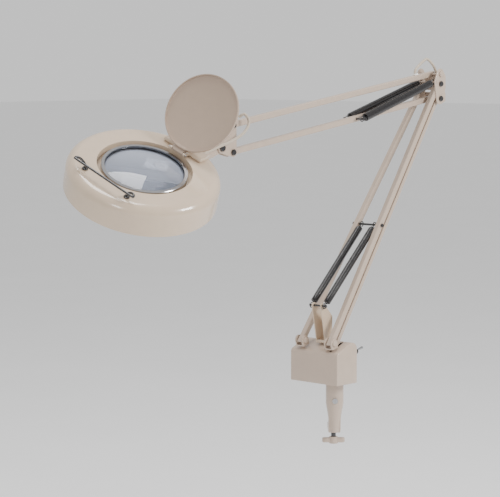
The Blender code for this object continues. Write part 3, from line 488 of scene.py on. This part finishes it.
def build_inside_base():
    """Ballast, terminals and the link's lug, all inside the housing."""
    ballast = block("ballast", (0.026, 0.052, 0.030), (0.0078, -0.018, 0.0180), BASE,
                    "bright_steel", 0.0015)
    boolean(ballast, block("ballast_winding", (0.016, 0.040, 0.016), (0.0078, -0.018, 0.0360),
                           BASE, None, 0.0030), "UNION")
    block("terminal_block", (0.008, 0.018, 0.010), (-0.016, -0.034, 0.0080), BASE,
          "white_plastic", 0.0010)
    link_pivot = PIVOT - Vector((0, 0, LINK_DROP))
    lug = outline_plate("link_lug", hull([(link_pivot.x - 0.001, link_pivot.z, 0.0042),
                                          (0.0140, 0.0052, 0.002), (0.0220, 0.0052, 0.002)], 16),
                        0.0020, BASE @ Matrix.Translation((0, 0.0375, 0)), "bright_steel")
    drill(lug, HOLE_R, lateral(link_pivot, 0.03), lateral(link_pivot, 0.045), BASE)
    bolt("link_pin", lateral(link_pivot, BASE_SPREAD - 0.0020), lateral(link_pivot, 0.0389),
         BASE, head=0.0038)


def build_spring_bracket():
    outline = hull([(ANCHOR.x, ANCHOR.z, 0.0048), (-0.0045, 0.106, 0.0040),
                    (-0.0065, 0.0692, 0.0022), (0.0060, 0.0656, 0.0022)], 14)
    bracket = outline_plate("spring_bracket", outline, 0.0200, BASE, "cream_paint")
    boolean(bracket, block("bracket_channel", (0.040, 0.0168, 0.080), (0.0135, 0, 0.1090),
                           BASE, None))
    drill(bracket, 0.0021, lateral(ANCHOR, -0.02), lateral(ANCHOR, 0.02), BASE)
    pin = [(0, 0.0340), (0.0026, 0.0340), (0.0026, 0.0325), (0.0017, 0.0320),
           (0.0017, 0.0020), (0.0026, 0.0015), (0.0026, 0), (0, 0)]
    at_pin = BASE @ along(lateral(ANCHOR, -0.017), lateral(ANCHOR, 0.017))
    lathe("spring_anchor_pin", pin, at_pin, "dark_steel", 12)


def build_switch():
    centre = Vector((HOUSING_BACK, 0.042, 0.050))
    bush = [(0.0032, 0.0075), (0.0044, 0.0075), (0.0044, 0.0045), (0.0056, 0.0045),
            (0.0056, 0.0020), (0.0056, GAP), (0.0033, GAP), (0.0033, -0.0060), (0.0060, -0.0060),
            (0.0060, -0.0100), (0.0031, -0.0100), (0.0016, 0)]
    at = BASE @ along(centre, centre + Vector((-1, 0, 0)))
    lathe("switch_body", bush, at, "dark_steel", 12, ring=True)
    toggle = [(0, 0.0240), (0.0014, 0.0240), (0.0024, 0.0225), (0.0022, 0.0190), (0.0011, 0.0100),
              (0.0011, -0.0042), (0, -0.0042)]
    swing = BASE @ along(centre, centre + Vector((-1, 0, TOGGLE_RISE)))
    lathe("switch_toggle", toggle, swing, "bright_steel", 16)


def build_elbow():
    at = BASE @ Matrix.Translation(ELBOW)
    outline = hull([(0, TOP_RISE, 0.0095), (0, 0, 0.0110), (0.001, -LINK_DROP, 0.0100),
                    (0.0105, 0.003, 0.0055), (-0.012, 0.012, 0.0025), (-0.012, -0.028, 0.0025)], 16)
    bracket = outline_plate("elbow_bracket", outline, 0.0440, at, "beige_paint", 0.0008)
    boolean(bracket, block("elbow_channel", (0.060, 0.0406, 0.080), (0.0177, 0, 0), at, None))
    drill(bracket, 0.0065, (-0.0185, -0.03, -LINK_DROP / 2), (-0.0185, 0.03, -LINK_DROP / 2), at)
    for label, height in (("main", 0), ("low", -LINK_DROP), ("top", TOP_RISE)):
        drill(bracket, HOLE_R, (0, -0.03, height), (0, 0.03, height), at)
        bolt("elbow_bolt_" + label, (0, -0.0224, height), (0, 0.0224, height), at,
             "beige_paint" if label == "top" else "dark_steel")
    pin = ELBOW_PIN - ELBOW
    boolean(bracket, rod("elbow_spring_pin", 0.0019, lateral(pin, -0.0228), lateral(pin, 0.0228),
                         at, None), "UNION")


def build_head_bracket():
    outline = hull([(HEAD_LOW.x, HEAD_LOW.z, 0.0072), (HEAD_TOP.x, HEAD_TOP.z, 0.0072),
                    (PITCH_PIVOT.x, PITCH_PIVOT.z, 0.0085)], 20)
    bracket = outline_plate("head_bracket", outline, 0.0144, BASE, "beige_paint")
    middle = (HEAD_LOW + HEAD_TOP + PITCH_PIVOT) / 3
    boolean(bracket, block("bracket_gap", (0.100, 0.0112, 0.100), middle, BASE, None))
    spacer = HEAD_TOP + Vector((0.0140, 0, -0.0080))
    boolean(bracket, rod("bracket_spacer", 0.0030, lateral(spacer, -0.0068),
                         lateral(spacer, 0.0068), BASE, None), "UNION")
    for point in (HEAD_LOW, HEAD_TOP, PITCH_PIVOT):
        drill(bracket, HOLE_R, lateral(point, -0.02), lateral(point, 0.02), BASE)
    bolt("head_bolt_low", lateral(HEAD_LOW, -CHEEK), lateral(HEAD_LOW, CHEEK), BASE)
    bolt("head_bolt_top", lateral(HEAD_TOP, -CHEEK), lateral(HEAD_TOP, CHEEK), BASE)


def build_neck():
    """Tongue between the cheeks, carrying a collar in which the head's stud turns."""
    axis = NECK @ along((0, 0, 0), (1, 0, 0))
    tongue_outline = hull([(0, 0, 0.0075), (0.0200, 0, 0.0085)], 16)
    tongue = outline_plate("neck_block", tongue_outline, 0.0100, NECK, "beige_paint", 0.0008)
    collar = lathe("neck_collar", [(0, 0.0400), (0.0095, 0.0400), (0.0105, 0.0390),
                                   (0.0105, 0.0185), (0.0095, 0.0175), (0, 0.0175)],
                   axis, None, 18)
    boolean(tongue, collar, "UNION")
    drill(tongue, 0.0062, (0.0190, 0, 0), (0.050, 0, 0), NECK)
    drill(tongue, HOLE_R, (0, -0.02, 0), (0, 0.02, 0), NECK)
    bolt("pitch_bolt", (0, -CHEEK, 0), (0, CHEEK, 0), NECK, head=0.0055)
    shell_x = NECK_LENGTH - SHADE_R
    stud = [(0, shell_x + 0.012), (0.0058, shell_x + 0.012), (0.0058, 0.0200), (0, 0.0200)]
    lathe("neck_stud", stud, axis, "bright_steel", 16)
    flange = [(0.0061, shell_x - 0.0005), (0.0130, shell_x - 0.0005), (0.0130, shell_x - 0.0030),
              (0.0100, shell_x - 0.0055), (0.0061, shell_x - 0.0055)]
    lathe("neck_flange", flange, axis, "beige_paint", 20, ring=True)
    nut = [(0.0063, shell_x + 0.0085), (0.0100, shell_x + 0.0085), (0.0100, shell_x + 0.0040),
           (0.0063, shell_x + 0.0040)]
    lathe("neck_nut", nut, axis, "bright_steel", 12, ring=True)


def arc(cx, cz, radius, first, last, steps=14):
    """Points on an arc, angles in degrees."""
    span = [math.radians(first + (last - first) * i / steps) for i in range(steps + 1)]
    return [(cx + radius * math.cos(a), cz + radius * math.sin(a)) for a in span]


def build_shade():
    flat = SHADE_R - SHADE_ROUND
    ledge = -0.0110
    profile = [(RECESS_R, 0)] + arc(flat, -SHADE_ROUND, SHADE_ROUND, 90, 0)
    profile += [(SHADE_R, -SHADE_H), (SHADE_R - WALL, -SHADE_H)]
    profile += arc(flat, -SHADE_ROUND, SHADE_ROUND - WALL, 0, 90)
    profile += [(RECESS_R + WALL, -WALL), (RECESS_R + WALL, ledge - WALL),
                (LENS_R - 0.0025, ledge - WALL), (LENS_R - 0.0025, ledge), (RECESS_R, ledge)]
    shell = lathe("shade", profile, HEAD, "cream_paint", 36, ring=True)
    drill(shell, 0.0061, (-SHADE_R - 0.01, 0, -SHADE_H / 2), (-SHADE_R + 0.01, 0, -SHADE_H / 2),
          HEAD)


def build_reflector():
    profile = [(RECESS_R + 0.0025, -0.0040), (0.0980, -0.0040), (0.1105, -0.0170),
               (0.1105, -0.0320), (0.1098, -0.0320), (0.1098, -0.0172), (0.0976, -0.0047),
               (RECESS_R + 0.0025, -0.0047)]
    trim = lathe("reflector", profile, HEAD, "white_plastic", 28, ring=True)
    return boolean(trim, block("reflector_notch", (0.020, 0.026, 0.030), (-0.111, 0, -0.0240),
                               HEAD, None))


def build_lens():
    rim_low, rim_high = -0.0107, -0.0075
    top = [(LENS_R * i / 5, 0.0005 + (rim_high - 0.0005) * (i / 5) ** 2) for i in range(6)]
    neck = LENS_R - 0.0029
    bottom = [(neck * i / 4, -0.0175 + (rim_low - 0.0020 + 0.0175) * (i / 4) ** 2)
              for i in range(4, -1, -1)]
    profile = top + [(LENS_R, rim_low), (neck, rim_low)] + bottom
    lathe("lens", profile, HEAD, "lens_glass", 28)
    gasket = [(LENS_R + GAP, -0.0050), (LENS_R + 0.0020, -0.0050), (LENS_R + 0.0020, rim_low),
              (LENS_R + GAP, rim_low)]
    lathe("lens_gasket", gasket, HEAD, "black_rubber", 28, ring=True)
    ring = [(LENS_R - 0.0005, -0.0020), (RING_R - 0.0006, -0.0020), (RING_R, -0.0026),
            (RING_R, rim_low), (LENS_R + 0.0023, rim_low), (LENS_R + 0.0023, -0.0045),
            (LENS_R - 0.0005, -0.0045)]
    lathe("lens_ring", ring, HEAD, "bright_steel", 32, ring=True)


def build_light():
    """Reflector with its spring clips, the circular tube and the tube's plug."""
    reflector = build_reflector()
    bm = bmesh.new()
    sides, rings = 32, 96
    opening = math.radians(16)

    def wall(radius):
        rows = []
        for i in range(rings + 1):
            turn = math.pi + opening / 2 + (2 * math.pi - opening) * i / rings
            angles = [2 * math.pi * j / sides for j in range(sides)]
            reach = [(TUBE_MAJOR + radius * math.cos(a), radius * math.sin(a)) for a in angles]
            rows.append([bm.verts.new((r * math.cos(turn), r * math.sin(turn), z))
                         for r, z in reach])
        return rows

    outer, inner = wall(TUBE_R), wall(TUBE_R - 0.0010)
    strips = list(zip(outer, outer[1:])) + list(zip(inner, inner[1:]))
    strips += [(outer[0], inner[0]), (outer[-1], inner[-1])]
    for a, b in strips:
        for j in range(sides):
            bm.faces.new((a[j], a[(j + 1) % sides], b[(j + 1) % sides], b[j]))
    bmesh.ops.recalc_face_normals(bm, faces=bm.faces)
    mesh = bpy.data.meshes.new("circular_tube")
    bm.to_mesh(mesh)
    bm.free()
    add_object("circular_tube", mesh, HEAD @ Matrix.Translation((0, 0, TUBE_Z)), "tube_glass")
    block("tube_plug", (0.0240, 0.0200, 0.0240), (-TUBE_MAJOR, 0, TUBE_Z), HEAD,
          "white_plastic", 0.0020)
    for index in range(3):
        turn = Matrix.Rotation(math.radians(120 * index), 4, "Z")
        at = HEAD @ turn @ Matrix.Translation((TUBE_MAJOR, 0, TUBE_Z))
        ring = [(TUBE_R + 0.0004, 0.0035), (TUBE_R + 0.0013, 0.0035), (TUBE_R + 0.0013, -0.0035),
                (TUBE_R + 0.0004, -0.0035)]
        clip = lathe(f"tube_clip_{index}", ring, at @ Matrix.Rotation(math.pi / 2, 4, "X"), None,
                     20, ring=True)
        boolean(clip, block(f"clip_mouth_{index}", (0.018, 0.010, 0.012), (0, 0, -0.0150), at,
                            None))
        boolean(reflector, clip, "UNION")
        boolean(reflector, block(f"clip_stem_{index}", (0.003, 0.006, 0.0068), (0, 0, 0.0186), at,
                                 None), "UNION")


def build_top_fittings():
    """Raised hinge housing at the back, and the handle at the front."""
    outline = [(-0.0790, 0.0010), (-0.0775, 0.0045), (-0.0805, 0.0078), (-0.1000, 0.0064),
               (-0.1035, 0.0010)]
    housing = outline_plate("hinge_housing", [(x, z - 0.0007) for x, z in outline], 0.0760, HEAD,
                            "cream_paint", 0.0015)
    for side in (-1, 1):
        taper = block(f"housing_taper_{side}", (0.060, 0.030, 0.030), (0, 0, 0),
                      HEAD @ Matrix.Translation((-0.0930, side * 0.0525, 0))
                      @ Matrix.Rotation(side * math.radians(20), 4, "Z"), None)
        boolean(housing, taper)
    pin_at = HEAD @ Matrix.Translation((HINGE_X, 0, HINGE_Z))
    rod("hinge_pin", 0.0011, (0, -0.0175, 0), (0, 0.0175, 0), pin_at, "bright_steel", 12)
    ear_outline = hull([(0, 0, 0.0024), (-0.0110, -0.0012, 0.0020)], 14)
    for side, label in ((-1, "left"), (1, "right")):
        ear = outline_plate("hinge_ear_" + label, ear_outline, 0.0040,
                            pin_at @ Matrix.Translation((0, side * 0.0130, 0)), None)
        boolean(housing, ear, "UNION")
    drill(housing, 0.0014, (0, -0.03, 0), (0, 0.03, 0), pin_at)
    x, half, height = 0.0850, 0.0590, 0.0125
    end = [(x - 0.0040, -half + 0.0160, 0.0012), (x - 0.0040, -half + 0.0160, 0.0070),
           (x - 0.0030, -half + 0.0080, height), (x - 0.0010, -half + 0.0010, height + 0.0010),
           (x + 0.0020, -half - 0.0010, height), (x + 0.0025, -half + 0.0050, height - 0.0005)]
    route = end + [(x + 0.0025, 0, height - 0.0005)]
    route += [(px, -py, pz) for px, py, pz in reversed(end)]
    handle = wire("handle_rod", route, 0.0018, HEAD, "dark_steel")
    for side in (-1, 1):
        foot = lathe(f"handle_foot_{side}", [(0, 0.0030), (0.0038, 0.0030), (0.0046, 0.0018),
                                             (0.0046, GAP), (0, GAP)],
                     HEAD @ Matrix.Translation((x - 0.0040, side * (half - 0.0160), 0)), None, 12)
        boolean(handle, foot, "UNION")


def build_cover():
    """Lens cover in its own frame: X runs from the hinge across the disc, closed side down."""
    middle = COVER_R + 0.0060
    profile = [(0, 0.0020), (COVER_R - 0.0050, 0.0020), (COVER_R - 0.0012, 0.0010),
               (COVER_R, -0.0002), (COVER_R, -0.0040), (COVER_R - 0.0014, -0.0040),
               (COVER_R - 0.0014, -0.0008), (COVER_R - 0.0050, 0.0005), (0, 0.0005)]
    disc = lathe("lens_cover", profile, COVER @ Matrix.Translation((middle, 0, 0.0010)),
                 "tan_plastic", 32)
    tab = outline_plate("cover_tab", hull([(0, 0, 0.0024), (0.0085, 0.0014, 0.0010)], 14), 0.0200,
                        COVER, None)
    boolean(disc, tab, "UNION")
    drill(disc, 0.0014, (0, -0.03, 0), (0, 0.03, 0), COVER)


# ---------------------------------------------------------------- springs
def coil(name, start, end, radius):
    """Close-wound tension spring with an open loop round the pin at each end."""
    placed = BASE @ along(start, end)
    reach = (Vector(end) - Vector(start)).length
    eye, mean = 0.0040, radius - SPRING_GAUGE
    span = reach - 2 * SPRING_HOOK
    steps, turns = 18, round(span / (SPRING_GAUGE * 2.25))
    first = [Vector((eye * math.sin(math.radians(a)), 0, -eye * math.cos(math.radians(a))))
             for a in range(-130, 181, 15)]
    lead_in = [Vector((mean * t * math.cos(math.pi * (1 - t)),
                       mean * t * math.sin(math.pi * (1 - t)),
                       SPRING_HOOK - 0.0030 * (1 - t))) for t in (0.0, 0.25, 0.5, 0.75)]
    body = [Vector((mean * math.cos(2 * math.pi * i / steps),
                    -mean * math.sin(2 * math.pi * i / steps),
                    SPRING_HOOK + span * i / (turns * steps))) for i in range(turns * steps + 1)]
    flip = Matrix.Translation((0, 0, reach)) @ Matrix.Rotation(math.pi, 4, "Y")
    last = [flip @ Vector((-p.x, p.y, p.z)) for p in reversed(first + lead_in)]
    route = first + lead_in + body + last
    return wire(name, route, SPRING_GAUGE, placed, "dark_steel", smooth=False, sides=8)


def build_coils():
    for side, label in ((-1, "left"), (1, "right")):
        coil("lower_spring_" + label, lateral(ANCHOR, side * 0.0137),
             lateral(LOWER_PIN, side * 0.0137), SPRING_R_LOWER)
        coil("upper_spring_" + label, lateral(ELBOW_PIN, side * 0.0135),
             lateral(UPPER_PIN, side * 0.0165), SPRING_R_UPPER)


# ---------------------------------------------------------------- cord
def cord_piece(name, points, placed):
    return wire(name, points, CORD_R, placed, "cord_jacket", smooth=False)


def build_cord():
    """Lead from the base, along the right bar, over the elbow and on to the head."""
    gland = [(CORD_R + GAP, 0.0075), (0.0030, 0.0075), (0.0036, 0.0020), (0.0056, 0.0015),
             (0.0056, 0.0004), (CORD_R + GAP, 0.0004)]
    top = CORD_EXIT
    lathe("cord_gland", gland, BASE @ Matrix.Translation(top), "black_rubber", 12, ring=True)
    inner = 0.0072               # bar's centre line to the cord's, sideways
    bar_start, bar_end = lateral(PIVOT, BASE_SPREAD), lateral(ELBOW, ELBOW_SPREAD)
    behind = Vector((-math.cos(LOWER_LEAN), 0, -math.sin(LOWER_LEAN)))

    def beside(distance):
        point = bar_start + (bar_end - bar_start) * (distance / ARM_LOWER)
        return point - Vector((0, inner, 0)) + 0.0052 * behind

    joint = beside(0.474)
    lower = [top - Vector((0, 0, 0.010)), top + Vector((0, 0, 0.010)),
             top + Vector((-0.004, 0.002, 0.022)), beside(0.066) - Vector((0.004, 0.0012, 0)),
             beside(0.0885)]
    cord_piece("cord_base", smooth_route(lower), BASE)
    cord_piece("cord_lower", [beside(0.0885), beside(0.15), beside(0.25), beside(0.35),
                              beside(0.42), joint], BASE)
    over = [(0.0040, -0.0130), (-0.0088, -0.0010), (-0.0086, 0.0120), (0.0010, 0.0290),
            (0.0130, 0.0415), (0.0205, 0.0400)]
    heights = [inner + 0.0001] * 3 + [0.0082, 0.0045, 0.002]
    entry = ELBOW_TOP + 0.041 * UPPER_DIR
    normal = Vector((math.sin(UPPER_DROP), 0, math.cos(UPPER_DROP)))
    route = [joint + 0.0001 * LOWER_DIR]
    route += [ELBOW + Vector((x, y, z)) for (x, z), y in zip(over, heights)]
    route += [entry + 0.0140 * normal - Vector((0.0012, 0, 0)), entry + 0.0030 * normal]
    points = smooth_route(route)
    middle = ELBOW + Vector((over[3][0], heights[3], over[3][1]))
    cut = min(range(len(points)), key=lambda i: (points[i] - middle).length)
    cord_piece("cord_elbow_rise", points[:cut + 1], BASE)
    cord_piece("cord_elbow", points[cut:], BASE)
    offsets = ((-0.0120, 0.0078, 0.0120), (-0.0170, 0.0143, 0.0169), (-0.0220, 0.0198, 0.0055),
               (-0.0100, 0.0208, -0.0108), (0.0143, 0.0167, -0.0239), (0.0387, 0.0192, -0.0296))
    loop = [NECK.inverted() @ BASE @ (HEAD_TOP + Vector(p)) for p in offsets]
    loop += [Vector((0.0400, 0.0170, 0.0060)), Vector((0.0560, 0.0160, 0.0040))]
    points = smooth_route(loop)
    cut = len(points) // 2
    cord_piece("cord_head_loop", points[:cut + 1], NECK)
    cord_piece("cord_head", points[cut:], NECK)
    ends = {"cord_base": [BASE @ p for p in (lower[0], lower[-1])],
            "cord_elbow_rise": [BASE @ joint, BASE @ middle],
            "cord_elbow": [BASE @ middle, BASE @ entry],
            "cord_head_loop": [NECK @ points[0], NECK @ points[cut]],
            "cord_head": [NECK @ points[cut], NECK @ points[-1]]}
    return ends


# ---------------------------------------------------------------- build
for build in (build_clamp, build_clamp_screw, build_housing, build_inside_base,
              build_spring_bracket, build_switch, build_elbow, build_head_bracket, build_neck,
              build_shade, build_lens, build_light, build_top_fittings, build_cover, build_coils):
    build()
CORD_ENDS = build_cord()

bpy.context.view_layer.update()
depsgraph = bpy.context.evaluated_depsgraph_get()
solid = {obj.name: bpy.data.meshes.new_from_object(obj.evaluated_get(depsgraph))
         for obj in PIECES.values()}
for obj in PIECES.values():
    obj.modifiers.clear()
    obj.data = solid[obj.name]
    obj.data.materials.clear()
    obj.data.materials.append(MATERIALS[obj["finish"]])
    obj.data.shade_smooth()
    obj.data.set_sharp_from_angle(angle=SMOOTH_ANGLE)
for cutter in CUTTERS:
    bpy.data.objects.remove(cutter, do_unlink=True)

# Pieces that cross a joint: the two bodies each bends between, and its two ends.
BENDING = {
    "lower_spring_left": ("turret", "lower_arm", BASE @ ANCHOR, BASE @ LOWER_PIN),
    "lower_spring_right": ("turret", "lower_arm", BASE @ ANCHOR, BASE @ LOWER_PIN),
    "upper_spring_left": ("elbow", "upper_arm", BASE @ ELBOW_PIN, BASE @ UPPER_PIN),
    "upper_spring_right": ("elbow", "upper_arm", BASE @ ELBOW_PIN, BASE @ UPPER_PIN),
    "cord_base": ("turret", "lower_arm", *CORD_ENDS["cord_base"]),
    "cord_elbow_rise": ("lower_arm", "elbow", *CORD_ENDS["cord_elbow_rise"]),
    "cord_elbow": ("elbow", "upper_link", *CORD_ENDS["cord_elbow"]),
    "cord_head_loop": ("head_bracket", "neck", *CORD_ENDS["cord_head_loop"]),
    "cord_head": ("neck", "head", *CORD_ENDS["cord_head"]),
}
for name, obj in PIECES.items():
    if name in BENDING:
        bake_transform(obj)
    else:
        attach(obj, BODY_OF[name])
    if name in BODY_OF:
        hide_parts(name)

# CAD nodes with no detailed piece keep their shape and take the same finishes.
SLOT_OF = {part["node"]: part["material_slot"] for part in frame["record"]["subparts"]}
for node, obj in frame["nodes"].items():
    if node not in PIECES:
        for slot in obj.material_slots:
            slot.material = MATERIALS[SLOT_OF[node]]

# ---------------------------------------------------------------- stage, light and camera
FLOOR_Z, FLOOR_REACH = -0.32, 30.0
floor_mesh = bpy.data.meshes.new("floor")
floor_mesh.from_pydata([(-FLOOR_REACH, -FLOOR_REACH, FLOOR_Z), (FLOOR_REACH, -FLOOR_REACH, FLOOR_Z),
                        (FLOOR_REACH, FLOOR_REACH, FLOOR_Z), (-FLOOR_REACH, FLOOR_REACH, FLOOR_Z)],
                       [], [(0, 1, 2, 3)])
floor = bpy.data.objects.new("floor", floor_mesh)
bpy.context.scene.collection.objects.link(floor)
floor_mesh.materials.append(surface("pale_floor", (0.93, 0.93, 0.93), 0.7, varied=0.01,
                                    grain=3.0))

AMBIENT, BACKDROP = 0.80, 0.86    # world strength as light, and as the camera sees it
world = bpy.data.worlds.new("studio")
bpy.context.scene.world = world
world.use_nodes = True
backdrop = world.node_tree.nodes["Background"]
backdrop.inputs["Color"].default_value = (1.0, 1.0, 1.0, 1.0)
seen = world.node_tree.nodes.new("ShaderNodeLightPath")
strength = world.node_tree.nodes.new("ShaderNodeMapRange")
strength.inputs["To Min"].default_value = AMBIENT
strength.inputs["To Max"].default_value = BACKDROP
world.node_tree.links.new(seen.outputs["Is Camera Ray"], strength.inputs["Value"])
world.node_tree.links.new(strength.outputs["Result"], backdrop.inputs["Strength"])


def area(name, position, target, size, power):
    light = bpy.data.lights.new(name, "AREA")
    light.shape = "SQUARE"
    light.size = size
    light.energy = power
    obj = bpy.data.objects.new(name, light)
    obj.location = position
    obj.rotation_euler = (Vector(target) - Vector(position)).to_track_quat("-Z", "Y").to_euler()
    bpy.context.scene.collection.objects.link(obj)


CENTRE = (0.12, 0.02, 0.28)
area("key", (-0.5, 2.4, 1.5), CENTRE, 0.7, 62.0)
area("front", (2.6, 0.9, 1.0), CENTRE, 0.5, 9.0)
area("top", (0.3, -0.2, 2.6), CENTRE, 1.0, 34.0)

YAW, LIFT, DISTANCE, FOCAL = 0.75, 0.095, 3.2, 1968.0
PICTURE_WIDTH, SENSOR = 500.0, 36.0
TARGET_SIDE, TARGET_HEIGHT = -0.1212, 0.218    # what the camera aims at, from the base
right = Vector((-math.sin(YAW), math.cos(YAW), 0))
target = BASE @ (right * TARGET_SIDE + Vector((0, 0, TARGET_HEIGHT)))
toward = Vector((math.cos(LIFT) * math.cos(YAW), math.cos(LIFT) * math.sin(YAW), math.sin(LIFT)))
camera_data = bpy.data.cameras.new("camera")
camera_data.lens = FOCAL / PICTURE_WIDTH * SENSOR
camera_data.sensor_width = SENSOR
camera = bpy.data.objects.new("camera", camera_data)
camera.location = target + DISTANCE * toward
camera.rotation_euler = (-toward).to_track_quat("-Z", "Y").to_euler()
bpy.context.scene.collection.objects.link(camera)
bpy.context.scene.camera = camera
